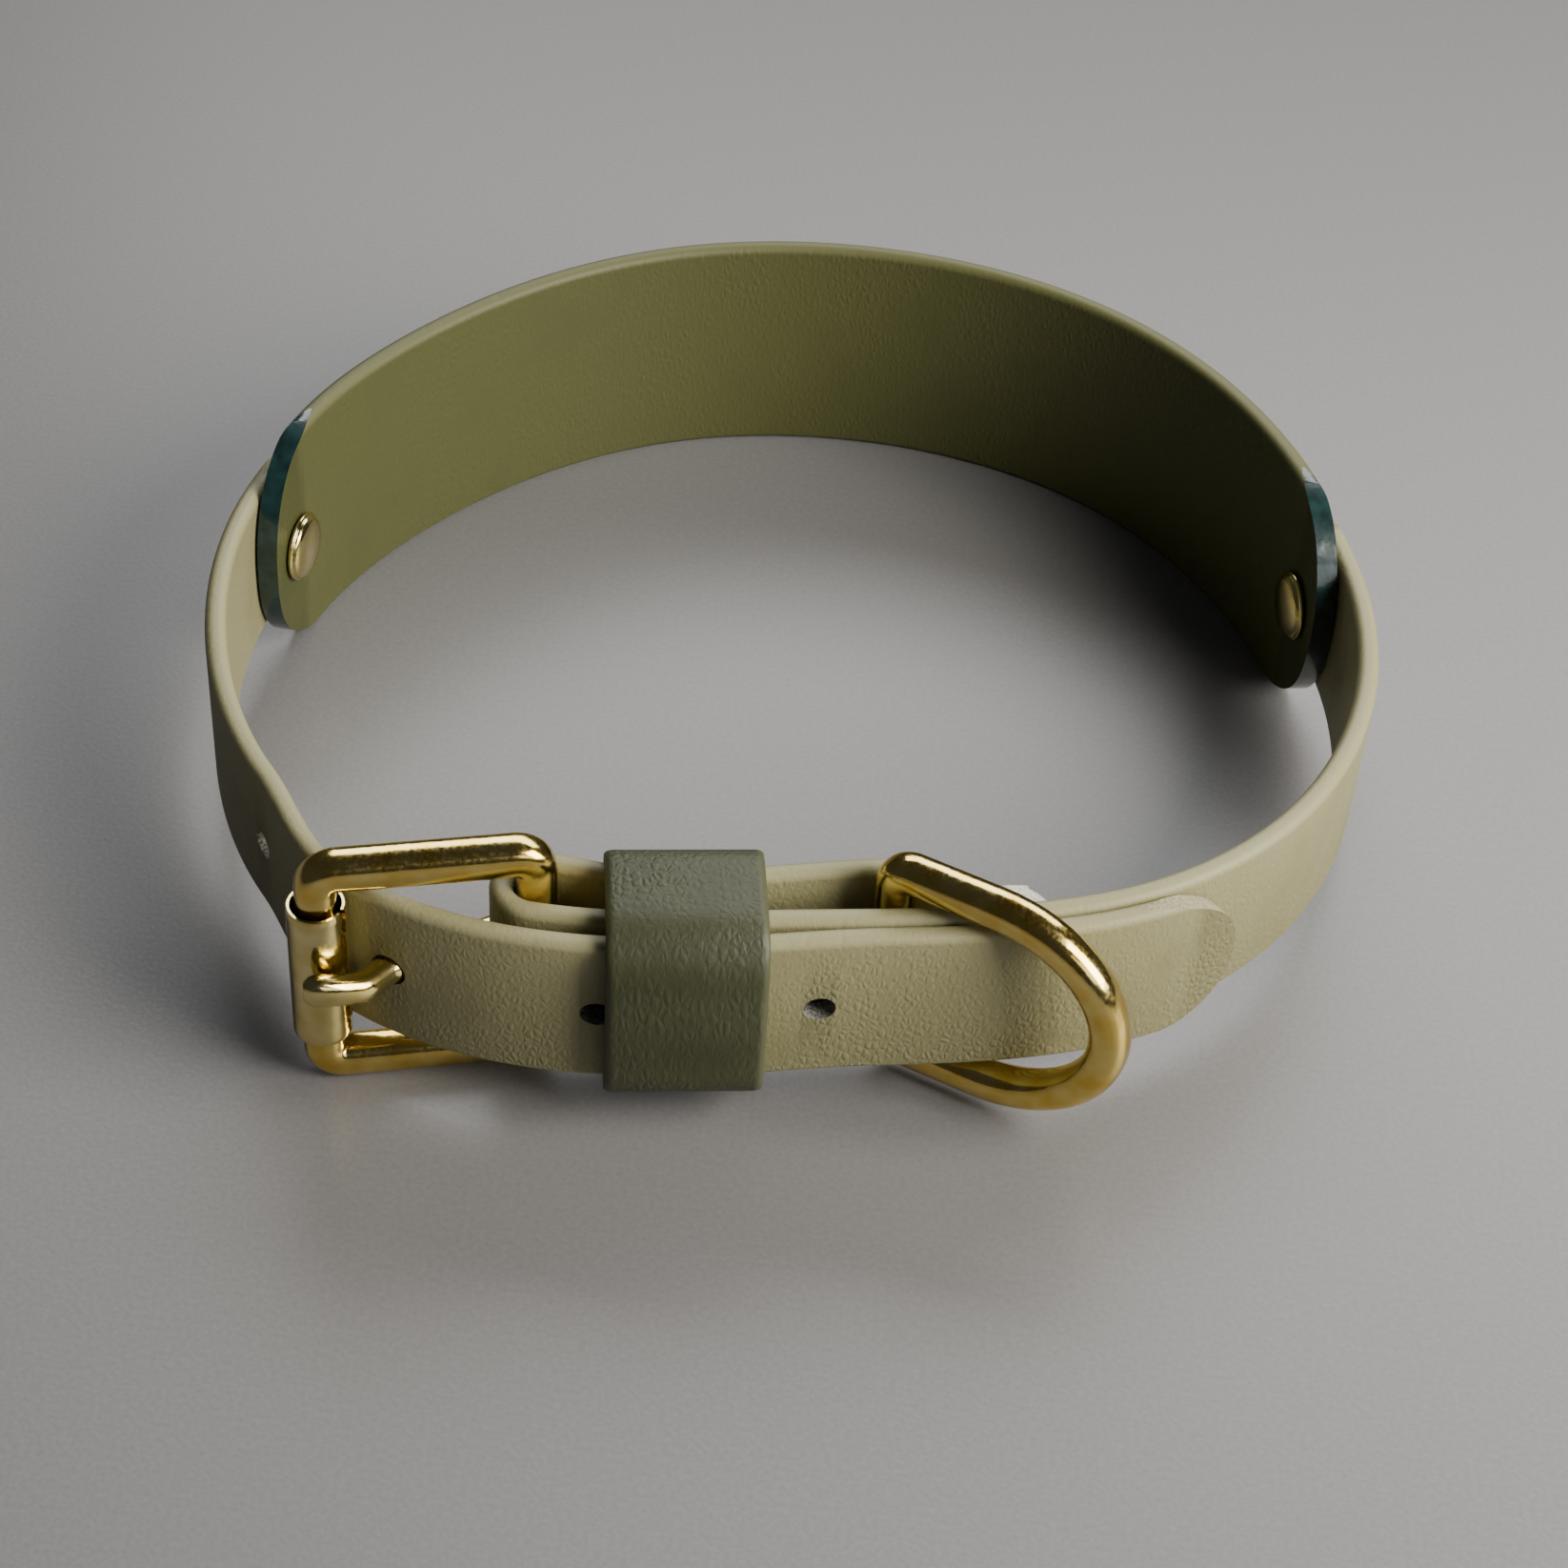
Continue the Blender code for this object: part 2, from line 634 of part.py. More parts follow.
def make_buckle_strap():
    """From the right rivet to the heel bar, round it and back behind the ring's bar."""
    start = right_rivet_at + STRAP_END_RADIUS
    front = loop.part(start, heel_at)
    run, out = loop.tangent(heel_at), loop.outward(heel_at)
    turn = np.linspace(0, math.pi, FOLD_STEPS)[1:-1, None]
    bend = heel + HEEL_INSET * (out * np.cos(turn) - run * np.sin(turn))
    back_start = tail_ring.nearest(heel - out * HEEL_INSET)
    back_end = tail_ring.nearest(loop.point(tail_end_at))
    back = tail_ring.part(back_start, back_end)
    line = Line(np.vstack([front, bend, back]))
    front_length = start - heel_at

    def height(s):
        return float(middle_height(start - min(s, front_length)))

    strap = strip("buckle_strap", line, STRAP_WIDTH, STRAP_THICKNESS, height,
                  (STRAP_END_RADIUS, TAIL_END_RADIUS), khaki, model, origin)
    reach = EYE_CLEAR + 2 * GAP
    slot = block("prong slot cutter", heel + run * GAP, out, FRONT_MIDDLE,
                 (2 * reach, PRONG_WIRE + 2 * GAP, 2 * reach + STRAP_THICKNESS), origin)
    cut(strap, slot, "prong slot")
    cut(strap, rivet_hole("right strap rivet hole", right_rivet_at, PANEL_MIDDLE), "rivet hole")
    at = fold_rivet_at
    cut(strap, rivet_hole("fold rivet hole", at, FRONT_MIDDLE), "fold rivet hole")
    sink = STRAP_THICKNESS / 2 - FOLD_RIVET_HEAD_DEPTH - GAP
    deep = 2 * FOLD_RIVET_HEAD_DEPTH + 4 * GAP
    seat = peg("fold rivet seat", loop.point(at) + loop.outward(at) * (sink + deep / 2),
               loop.outward(at), FRONT_MIDDLE, FOLD_RIVET_HEAD + 2 * GAP, deep, origin)
    cut(strap, seat, "fold rivet seat")
    return strap


def make_fold_rivet():
    """Holds the folded end: its flat head is let into the strap, its dome is inside."""
    post, head = RIVET_POST / 2, FOLD_RIVET_HEAD / 2
    high = STRAP_THICKNESS / 2
    seat = high - FOLD_RIVET_HEAD_DEPTH
    low = -(LAY + STRAP_THICKNESS / 2 + GAP)
    cap = FOLD_RIVET_CAP / 2
    profile = [(0.0, high), (head, high), (head, seat), (post, seat), (post, low), (cap, low)]
    profile += [(r, low - z) for r, z in reversed(dome(cap))]
    rivet = turned("fold_rivet", profile, brass, model, origin)
    rivet.matrix_local = facing(loop.point(fold_rivet_at), loop.outward(fold_rivet_at),
                                FRONT_MIDDLE)
    return rivet


# The keeper

def make_keeper():
    """A band bent round the three layers of strap, as a closed sheet with a wall."""
    at = outer_ring.nearest(loop.point(keeper_at))
    spread = [heel_at + KEEPER_FROM_HEEL + side * KEEPER_WIDTH / 2 for side in (-1, 1)]
    out = loop.outward(keeper_at)
    base = loop.point(keeper_at)
    faces = []
    for station in np.linspace(*spread, KEEPER_CHECKS):
        for ring in (outer_ring, tail_ring):
            s = ring.nearest(loop.point(station))
            for side in (-1, 1):
                edge = ring.point(s) + ring.outward(s) * side * STRAP_THICKNESS / 2
                faces.append((edge - base) @ out)
    wall = KEEPER_WALL / 2
    far, near = max(faces) + GAP + wall, min(faces) - GAP - wall
    tall = STRAP_WIDTH + 2 * GAP + KEEPER_WALL
    outline = rounded_loop(far - near, tall, KEEPER_CORNER - wall)
    bm = bmesh.new()
    rows = []
    for across in (-0.5, 0.5):
        rows.append([bm.verts.new((across * KEEPER_WIDTH, z, a + (far + near) / 2))
                     for a, z in outline])
    count = len(outline)
    for i in range(count):
        j = (i + 1) % count
        bm.faces.new((rows[0][i], rows[0][j], rows[1][j], rows[1][i]))
    bmesh.ops.recalc_face_normals(bm, faces=bm.faces)
    keeper = add_object("keeper_loop", mesh_from("keeper_loop", bm), dark_olive, model, origin)
    shell = keeper.modifiers.new("wall", "SOLIDIFY")
    shell.thickness = KEEPER_WALL
    shell.offset = 0
    shell.use_even_offset = True
    edge = keeper.modifiers.new("rounded edges", "BEVEL")
    edge.width = KEEPER_ROUNDING
    edge.segments = 2
    edge.limit_method = "ANGLE"
    edge.angle_limit = SMOOTH_TO
    keeper.matrix_local = facing(base, out, FRONT_MIDDLE)
    return keeper


# The D-ring

def dee_outline():
    """The ring's wire line: reach from the bar, and height from its middle."""
    half = (DEE_HEIGHT - DEE_WIRE) / 2
    bow = DEE_REACH - DEE_ARM
    corner = DEE_CORNER - DEE_WIRE / 4
    points = []
    for a in np.linspace(-math.pi / 2, math.pi / 2, BOW_STEPS):
        points.append((DEE_ARM + bow * math.cos(a), half * math.sin(a)))
    for a in np.linspace(math.pi / 2, math.pi, CORNER_STEPS):
        points.append((corner + corner * math.cos(a), half - corner + corner * math.sin(a)))
    for a in np.linspace(math.pi, 1.5 * math.pi, CORNER_STEPS):
        points.append((corner + corner * math.cos(a), corner - half + corner * math.sin(a)))
    return points


def dee_lean(bar, run, out):
    """The least lean at which the ring's wire clears the free end of the long strap."""
    radius = DEE_WIRE / 2
    strap_top = STRAP_WIDTH / 2
    for lean in np.arange(0, LEAN_LIMIT, LEAN_STEP):
        aim = run * math.cos(lean) + out * math.sin(lean)
        clear = True
        for reach, height in dee_outline():
            place = bar + aim * reach
            s = outer_ring.nearest(place)
            level = abs(height) - strap_top
            above = (place - outer_ring.point(s)) @ outer_ring.outward(s) - STRAP_THICKNESS / 2
            if reach > radius and math.hypot(max(level, 0), max(above, 0)) < radius + GAP:
                clear = False
            if reach > radius and above < 0 and level < radius + GAP:
                clear = False
        if clear:
            return lean
    return lean


def make_dee():
    run, out = loop.tangent(dee_at), loop.outward(dee_at)
    bar = loop.point(dee_at) - out * DEE_INSET
    lean = dee_lean(bar, run, out)
    aim = run * math.cos(lean) + out * math.sin(lean)
    ring = tube("dee_ring", [(*(aim * reach), z) for reach, z in dee_outline()], DEE_WIRE / 2,
                True, brass, model, origin)
    ring.location = (*bar, FRONT_MIDDLE)
    return ring


def seat_at_origin():
    """Puts the middle of the whole collar's box over the origin, standing on z = 0."""
    bpy.context.view_layer.update()
    graph = bpy.context.evaluated_depsgraph_get()
    low, high = Vector((1, 1, 1)), Vector((-1, -1, -1))
    for piece in model.objects:
        if piece.type == "EMPTY":
            continue
        ready = piece.evaluated_get(graph)
        mesh = ready.to_mesh()
        for vertex in mesh.vertices:
            place = ready.matrix_world @ vertex.co
            low = Vector(map(min, low, place))
            high = Vector(map(max, high, place))
        ready.to_mesh_clear()
    origin.location = (-(low.x + high.x) / 2, -(low.y + high.y) / 2, -low.z)


panel = make_panel()
cut(panel, rivet_hole("left panel rivet hole", left_rivet_at, PANEL_MIDDLE), "left rivet hole")
cut(panel, rivet_hole("right panel rivet hole", right_rivet_at, PANEL_MIDDLE), "right rivet hole")
make_long_strap()
make_buckle_strap()
make_end_rivet("left_rivet", left_rivet_at)
make_end_rivet("right_rivet", right_rivet_at)
make_fold_rivet()
make_frame()
make_roller()
make_prong()
make_keeper()
make_dee()
seat_at_origin()
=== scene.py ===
# %% [markdown]
# # A small dog collar in coated webbing
# The collar stands on its edge, fastened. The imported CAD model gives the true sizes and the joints,
# and this file dresses it. Each step says what the real piece is, how it could be made here, and
# why one way was chosen. Sizes are in millimetres on the page and in metres in Blender.

# %% Load the frame
import json
import random
from collections import namedtuple
from math import copysign, cos, degrees, hypot, pi, radians, sin, sqrt

import bmesh
import bpy
import numpy as np
from mathutils import Matrix, Vector


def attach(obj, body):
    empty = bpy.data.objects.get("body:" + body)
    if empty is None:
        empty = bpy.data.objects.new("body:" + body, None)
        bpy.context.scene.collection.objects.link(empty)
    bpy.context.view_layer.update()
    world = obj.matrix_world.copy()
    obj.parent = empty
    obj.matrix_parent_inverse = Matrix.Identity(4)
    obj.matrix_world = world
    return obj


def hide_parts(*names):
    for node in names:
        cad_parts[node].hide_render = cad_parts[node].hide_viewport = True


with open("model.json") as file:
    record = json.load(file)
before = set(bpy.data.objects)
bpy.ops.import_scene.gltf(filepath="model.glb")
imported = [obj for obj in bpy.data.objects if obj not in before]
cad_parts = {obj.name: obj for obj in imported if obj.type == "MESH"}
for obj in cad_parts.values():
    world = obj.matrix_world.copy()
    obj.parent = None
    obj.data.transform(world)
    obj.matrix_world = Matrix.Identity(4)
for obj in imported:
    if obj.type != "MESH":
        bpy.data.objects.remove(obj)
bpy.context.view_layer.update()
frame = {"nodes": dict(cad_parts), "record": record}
MM = 0.001

# %% [markdown]
# ## The loop in plan
# The straps are sheets stood on edge, so the whole collar can be laid out as lines seen from above.
# One closed spline carries the middle of the straps, and the layers at the buckle run beside it.
# The same numbers are in the CAD source, so the dressed pieces fall exactly on the solids.

# %% Sizes
GAP = 0.3 * MM
LOOP_WIDTH = 109.7 * MM
LOOP_DEPTH = 103.0 * MM
Station = namedtuple("Station", "across along")
LOOP_SHAPE = [Station(*row) for row in (
    (0.001, 1.0), (-0.286, 0.944), (-0.540, 0.798), (-0.750, 0.585), (-0.913, 0.320),
    (-0.995, 0.003), (-0.977, -0.335), (-0.860, -0.663), (-0.624, -0.913), (-0.305, -1.0),
    (0.001, -0.974), (0.288, -0.936), (0.582, -0.848), (0.829, -0.637), (0.969, -0.332),
    (0.997, 0.003), (0.929, 0.325), (0.785, 0.610), (0.567, 0.833), (0.294, 0.964))]
PANEL_HEIGHT = 25.0 * MM
PANEL_THICKNESS = 2.0 * MM
PANEL_LENGTH = 154.0 * MM
PANEL_END_RADIUS = 12.0 * MM
STRAP_WIDTH = 16.0 * MM
STRAP_THICKNESS = 2.0 * MM
STRAP_END_RADIUS = 8.0 * MM
TIP_RADIUS = 10.0 * MM
HOLE_DIAMETER = 2.8 * MM
HOLE_PITCH = 19.0 * MM
HOLES_BEFORE_PRONG = 1
HOLES_AFTER_PRONG = 2
FREE_END = 76.0 * MM
RIVET_INSET = 6.0 * MM
RIVET_CAP = 7.0 * MM
RIVET_DOME = 1.3 * MM
RIVET_POST = 3.0 * MM
FOLD_RIVET_CAP = 6.0 * MM
BUCKLE_REACH = 115.0 * MM
FRAME_HEIGHT = 26.0 * MM
FRAME_WIRE = 3.6 * MM
FRAME_CORNER = 2.75 * MM
BAR_SPACING = 18.8 * MM
BUCKLE_TILT = radians(19.5)
ROLLER_DIAMETER = 5.2 * MM
ROLLER_WALL = 0.5 * MM
ROLLER_END_PLAY = 0.5 * MM
PRONG_WIRE = 2.6 * MM
PRONG_WRAP = radians(235.0)
PRONG_OVERHANG = 1.6 * MM
PRONG_LAY_SLACK = 0.3 * MM
KEEPER_FROM_HEEL = 13.4 * MM
KEEPER_WIDTH = 13.8 * MM
KEEPER_WALL = 1.8 * MM
KEEPER_CORNER = 2.6 * MM
FOLD_AT_KEEPER = 5.0 * MM
DEE_FROM_HEEL = 31.6 * MM
DEE_HEIGHT = 24.2 * MM
DEE_WIRE = 3.6 * MM
DEE_REACH = 21.2 * MM
DEE_ARM = 9.4 * MM
DEE_CORNER = 2.6 * MM
FOLD_RIVET_FROM_DEE = 10.8 * MM
TAIL_PAST_RIVET = 4.6 * MM
TAIL_END_RADIUS = 7.0 * MM
BUCKLE_LEAD = 15.0 * MM
DEE_RUN_OUT = 9.0 * MM
LIFT_RUN = 42.0 * MM
LINE_STEP = 0.25 * MM

LAY = STRAP_THICKNESS + GAP
PANEL_INSET = (PANEL_THICKNESS + STRAP_THICKNESS) / 2 + GAP
BAR_RADIUS = FRAME_WIRE / 2
HEEL_INSET = STRAP_THICKNESS / 2 + GAP + BAR_RADIUS
DEE_INSET = STRAP_THICKNESS / 2 + GAP + DEE_WIRE / 2
ROLLER_RADIUS = ROLLER_DIAMETER / 2
EYE_RADIUS = BAR_RADIUS + GAP + PRONG_WIRE / 2
EYE_CLEAR = EYE_RADIUS + PRONG_WIRE / 2 + GAP
PANEL_MIDDLE = PANEL_HEIGHT / 2
FRONT_MIDDLE = FRAME_HEIGHT / 2


# %% Lines in plan
class Line:
    """A line of points in plan, read by the length along it."""

    def __init__(self, points):
        self.points = np.asarray(points)
        steps = np.linalg.norm(np.diff(self.points, axis=0), axis=1)
        self.along = np.concatenate([[0.0], np.cumsum(steps)])
        self.length = self.along[-1]

    def point(self, s):
        x = np.interp(s, self.along, self.points[:, 0])
        y = np.interp(s, self.along, self.points[:, 1])
        return np.stack([x, y], axis=-1)

    def tangent(self, s):
        reach = 2 * LINE_STEP
        run = (self.point(np.minimum(s + reach, self.length))
               - self.point(np.maximum(s - reach, 0.0)))
        return run / np.linalg.norm(run, axis=-1, keepdims=True)

    def outward(self, s):
        run = self.tangent(s)
        return np.stack([run[..., 1], -run[..., 0]], axis=-1)

    def nearest(self, place):
        return self.along[int(np.argmin(np.linalg.norm(self.points - place, axis=1)))]

    def offset(self, distance):
        return Line(self.points + self.outward(self.along) * np.reshape(distance, (-1, 1)))

    def part(self, start, end):
        count = max(2, int(abs(end - start) / LINE_STEP))
        return self.point(np.linspace(start, end, count))


def closed_spline(knots):
    """A closed curve with even bend through the knots: a periodic cubic spline."""
    knots = np.asarray(knots)
    count = len(knots)
    chord = np.linalg.norm(np.roll(knots, -1, axis=0) - knots, axis=1)
    before = np.roll(chord, 1)
    slope = (np.roll(knots, -1, axis=0) - knots) / chord[:, None]
    matrix = np.zeros((count, count))
    for i in range(count):
        matrix[i, i - 1] += before[i]
        matrix[i, i] += 2 * (before[i] + chord[i])
        matrix[i, (i + 1) % count] += chord[i]
    bend = np.linalg.solve(matrix, 6 * (slope - np.roll(slope, 1, axis=0)))
    pieces = []
    for i in range(count):
        j = (i + 1) % count
        span = chord[i]
        t = np.linspace(0, span, max(2, int(span / LINE_STEP)), endpoint=False)[:, None]
        left, right = span - t, t
        pieces.append((bend[i] * left**3 + bend[j] * right**3) / (6 * span)
                      + (knots[i] / span - bend[i] * span / 6) * left
                      + (knots[j] / span - bend[j] * span / 6) * right)
    points = np.concatenate(pieces)
    return np.vstack([points, points[:1]])


def smooth_table(stations, values, s):
    """Reads a short table smoothly, without swinging past its rows."""
    x, y = np.asarray(stations), np.asarray(values)
    step = np.diff(x)
    slope = np.diff(y) / step
    bend = np.zeros(len(x))
    for i in range(1, len(x) - 1):
        if slope[i - 1] * slope[i] > 0:
            near, far = 2 * step[i] + step[i - 1], step[i] + 2 * step[i - 1]
            bend[i] = (near + far) / (near / slope[i - 1] + far / slope[i])
    s = np.clip(s, x[0], x[-1])
    i = np.clip(np.searchsorted(x, s, side="right") - 1, 0, len(x) - 2)
    t = (s - x[i]) / step[i]
    rise = (2 * t**3 - 3 * t**2 + 1) * y[i] + (3 * t**2 - 2 * t**3) * y[i + 1]
    turn = (t**3 - 2 * t**2 + t) * bend[i] + (t**3 - t**2) * bend[i + 1]
    return rise + turn * step[i]


# %% Where everything sits along the loop
loop = Line(closed_spline([(row.across * LOOP_WIDTH / 2, row.along * LOOP_DEPTH / 2)
                           for row in LOOP_SHAPE]))
inner = loop.offset(np.full(len(loop.points), -PANEL_INSET))
panel_ring = Line(np.vstack([inner.points[:-1], inner.points]))
panel_start = inner.length - PANEL_LENGTH / 2
panel_line = Line(panel_ring.part(panel_start, panel_start + PANEL_LENGTH))
left_rivet_at = loop.nearest(panel_line.point(PANEL_LENGTH - RIVET_INSET)
                             + panel_line.outward(PANEL_LENGTH - RIVET_INSET) * PANEL_INSET)
right_rivet_at = loop.nearest(panel_line.point(RIVET_INSET)
                              + panel_line.outward(RIVET_INSET) * PANEL_INSET)
heel_at = right_rivet_at - BUCKLE_REACH
keeper_at = heel_at + KEEPER_FROM_HEEL
dee_at = heel_at + DEE_FROM_HEEL
fold_rivet_at = dee_at + FOLD_RIVET_FROM_DEE
tail_end_at = fold_rivet_at + TAIL_PAST_RIVET
heel = loop.point(heel_at) - loop.outward(heel_at) * HEEL_INSET
frame_run = (-loop.tangent(heel_at) * cos(BUCKLE_TILT)
             + loop.outward(heel_at) * sin(BUCKLE_TILT))
frame_out = np.array([-frame_run[1], frame_run[0]])
roller = heel + frame_run * BAR_SPACING
roller_at = loop.nearest(roller)
roller_off = np.linalg.norm(roller - loop.point(roller_at))
dee_bar = loop.point(dee_at) - loop.outward(dee_at) * DEE_INSET

rise_at_roller = roller_off - (ROLLER_RADIUS + GAP + STRAP_THICKNESS / 2)
rise_at_heel = EYE_CLEAR + PRONG_LAY_SLACK + STRAP_THICKNESS / 2 - HEEL_INSET
outer_ring = loop.offset(smooth_table(
    [0.0, roller_at - BUCKLE_LEAD, roller_at, heel_at, keeper_at, dee_at,
     dee_at + DEE_RUN_OUT, loop.length],
    [0.0, 0.0, rise_at_roller, rise_at_heel, rise_at_heel, LAY, LAY, LAY], loop.along))
tail_ring = loop.offset(-smooth_table(
    [0.0, heel_at, keeper_at, dee_at, fold_rivet_at - FOLD_RIVET_CAP / 2, loop.length],
    [2 * HEEL_INSET, 2 * HEEL_INSET, FOLD_AT_KEEPER, 2 * DEE_INSET, LAY, LAY], loop.along))

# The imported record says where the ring's pin is, and that sets the plan over the origin
joints = {joint["name"]: joint for joint in frame["record"]["behaviour"]["joints"]}
shift = np.array(joints["dee_swing"]["pos_m"][:2]) - dee_bar
print("plan moved by mm", np.round(shift / MM, 3))


def middle_height(s):
    """The straps' middle at a station: level with the panel at the rivets, raised in front."""
    stations = [left_rivet_at, left_rivet_at + LIFT_RUN, right_rivet_at - LIFT_RUN, right_rivet_at]
    return smooth_table(stations, [PANEL_MIDDLE, FRONT_MIDDLE, FRONT_MIDDLE, PANEL_MIDDLE], s)


# %% [markdown]
# ## Colours and nodes
# Colours are written as the hex values a screen shows, and one function turns them into the linear
# values that Blender wants. One small function adds a node with its settings, values and links.

# %% Colour and node helpers
def colour(code):
    """Linear RGBA from an sRGB hex code."""
    parts = [int(code[i:i + 2], 16) / 255 for i in (1, 3, 5)]
    linear = [v / 12.92 if v <= 0.04045 else ((v + 0.055) / 1.055) ** 2.4 for v in parts]
    return (*linear, 1.0)


def add(tree, kind, settings=None, values=None, links=None):
    """Adds a node. Values and links are given by the socket's name or number."""
    node = tree.nodes.new(kind)
    for name, value in (settings or {}).items():
        setattr(node, name, value)
    for key, value in (values or {}).items():
        node.inputs[key].default_value = value
    for key, source in (links or {}).items():
        tree.links.new(source, node.inputs[key])
    return node


def ramp(tree, source, stops):
    """A colour ramp from (place, hex) stops."""
    node = add(tree, "ShaderNodeValToRGB", links={"Fac": source})
    elements = node.color_ramp.elements
    while len(elements) < len(stops):
        elements.new(0.5)
    for element, (place, code) in zip(elements, stops):
        element.position = place
        element.color = colour(code)
    return node.outputs["Color"]


def new_material(name, roughness, metallic=0.0, **sockets):
    """A finish with its tree, its shader and the coordinates that its patterns lie on."""
    finish = bpy.data.materials.new(name)
    finish.use_nodes = True
    tree = finish.node_tree
    shader = tree.nodes["Principled BSDF"]
    for key, value in dict(sockets, Roughness=roughness, Metallic=metallic).items():
        shader.inputs[key.replace("_", " ")].default_value = value
    return finish, tree, shader, add(tree, "ShaderNodeTexCoord").outputs["Object"]


def noise(tree, place, scale, detail, output="Fac"):
    return add(tree, "ShaderNodeTexNoise", None, {"Scale": scale, "Detail": detail},
               {"Vector": place}).outputs[output]


def remap(tree, source, low, high, start=0.0, end=1.0, **settings):
    """Turns a value that runs from start to end into one that runs from low to high."""
    return add(tree, "ShaderNodeMapRange", settings,
               {"From Min": start, "From Max": end, "To Min": low, "To Max": high},
               {"Value": source}).outputs["Result"]


def product(tree, first, second):
    return add(tree, "ShaderNodeMath", {"operation": "MULTIPLY"}, None,
               {0: first, 1: second}).outputs["Value"]


def scaled_sum(tree, source, factor, rest):
    """The source times a factor, plus the rest."""
    return add(tree, "ShaderNodeMath", {"operation": "MULTIPLY_ADD"}, {1: factor},
               {0: source, 2: rest}).outputs["Value"]


def tinted(tree, share, base, code):
    """The base colour with a share of another one over it."""
    return add(tree, "ShaderNodeMix", {"data_type": "RGBA"}, {7: colour(code)},
               {0: share, 6: base}).outputs[2]


def emboss(tree, shader, height, strength, depth):
    bump = add(tree, "ShaderNodeBump", None, {"Strength": strength, "Distance": depth},
               {"Height": height})
    tree.links.new(bump.outputs["Normal"], shader.inputs["Normal"])


def mottled(name, roughness, patch, detail, stops, strength, depth, **sockets):
    """A finish whose colour and relief follow one noise, in patches of a given size."""
    finish, tree, shader, place = new_material(name, roughness, **sockets)
    pattern = noise(tree, place, 1 / patch, detail)
    tree.links.new(ramp(tree, pattern, stops), shader.inputs["Base Color"])
    emboss(tree, shader, pattern, strength, depth)
    return finish


# %% [markdown]
# ## Coated webbing
# The straps are polyester webbing under a soft coat that is embossed like fine leather. The coat
# is matt with a faint sheen, its grain is a net of short creases about two thirds of a millimetre
# apart, and the rounded edges are smoother. The edges are also tinted pale as a painted highlight,
# and the creases are tinted dark as painted shade. An image of leather would show its repeats, so
# the grain is a Voronoi net whose coordinates are bent by noise and drawn as bump. A slow noise
# shifts the colour by a few per cent.

# %% Webbing materials
GRAIN_MM = 0.68
CREASE_DEPTH = 0.10 * MM
CREASE_REACH = 0.40
PEBBLE_MM = 0.28
NET_BEND = 0.55
FOLD_SHARE = 0.5
PEBBLE_SHARE = 0.35
WORN_PATCH = 9 * MM
# Share of the dark colour painted into the creases as shade
CREASE_PAINTED_SHADE = 0.18


def webbing(name, dark, mid, pale, roughness, grain_mm, depth, stretch):
    finish, tree, shader, place = new_material(name, roughness)
    # Object coordinates are metres, so this turns them into grains
    grains = add(tree, "ShaderNodeMapping", None,
                 {"Scale": [v / (grain_mm * MM) for v in stretch]},
                 {"Vector": place}).outputs["Vector"]
    wander = add(tree, "ShaderNodeVectorMath", {"operation": "ADD"}, None,
                 {0: grains, 1: noise(tree, grains, 0.9, 3.0, "Color")}).outputs["Vector"]
    bent = add(tree, "ShaderNodeMix", {"data_type": "VECTOR"}, {"Factor": NET_BEND},
               {4: grains, 5: wander}).outputs[1]
    net = add(tree, "ShaderNodeTexVoronoi", {"feature": "DISTANCE_TO_EDGE"},
              {"Scale": 1.0, "Randomness": 1.0}, {"Vector": bent}).outputs["Distance"]
    crease = remap(tree, net, 0.0, 1.0, 0.0, CREASE_REACH, interpolation_type="SMOOTHSTEP")
    folds = add(tree, "ShaderNodeTexNoise", {"noise_type": "RIDGED_MULTIFRACTAL"},
                {"Scale": 0.55, "Detail": 3.0, "Roughness": 0.5}, {"Vector": grains}).outputs["Fac"]
    pebble = noise(tree, grains, grain_mm / PEBBLE_MM, 2.0)
    worn = noise(tree, place, 1 / WORN_PATCH, 4.0)
    edge = add(tree, "ShaderNodeAttribute", {"attribute_name": "edge"}).outputs["Fac"]

    # Creases are only as deep as worn patches and the smooth edges allow
    amount = product(tree, remap(tree, worn, 0.35, 1.0, 0.35, 0.65), remap(tree, edge, 1.0, 0.15))
    relief = scaled_sum(tree, folds, -FOLD_SHARE, product(tree, crease, amount))
    emboss(tree, shader, scaled_sum(tree, pebble, PEBBLE_SHARE, relief), 0.8, depth)

    body = ramp(tree, worn, [(0.30, dark), (0.5, mid)])
    # The creases are drawn towards the dark colour: painted shade in the grain's creases
    crease_shaded = tinted(tree, remap(tree, crease, CREASE_PAINTED_SHADE, 0.0), body, dark)
    # The coat is tinted pale along the edges: a painted highlight
    tree.links.new(tinted(tree, edge, crease_shaded, pale), shader.inputs["Base Color"])
    tree.links.new(remap(tree, pebble, roughness + 0.08, roughness - 0.06),
                   shader.inputs["Roughness"])
    return finish


# The third colour of each webbing is the pale painted highlight along its edges
khaki = webbing("khaki coated webbing", "#6E6A46", "#817D59", "#9C9870", 0.52,
                GRAIN_MM, CREASE_DEPTH, (1.1, 1.1, 0.75))
olive = webbing("olive coated webbing", "#424520", "#474A22", "#62633A", 0.55,
                GRAIN_MM, CREASE_DEPTH * 0.6, (1.1, 1.1, 0.6))
dark_olive = webbing("dark olive coated webbing", "#31341B", "#3C3F27", "#4B4E34", 0.52,
                     GRAIN_MM * 1.3, CREASE_DEPTH * 0.9, (1.25, 1.0, 0.5))

# %% [markdown]
# ## Cut edges
# Where the webbing is punched or cut round, the coat is open and the pale fibres show. The panel's
# two ends are sealed with a thick, glossy, dark teal edge paint.

# %% Cut-edge materials
def fibre_core(name, dark, pale):
    return mottled(name, 0.85, 0.22 * MM, 4.0, [(0.36, dark), (0.6, pale)], 0.8, 0.08 * MM)


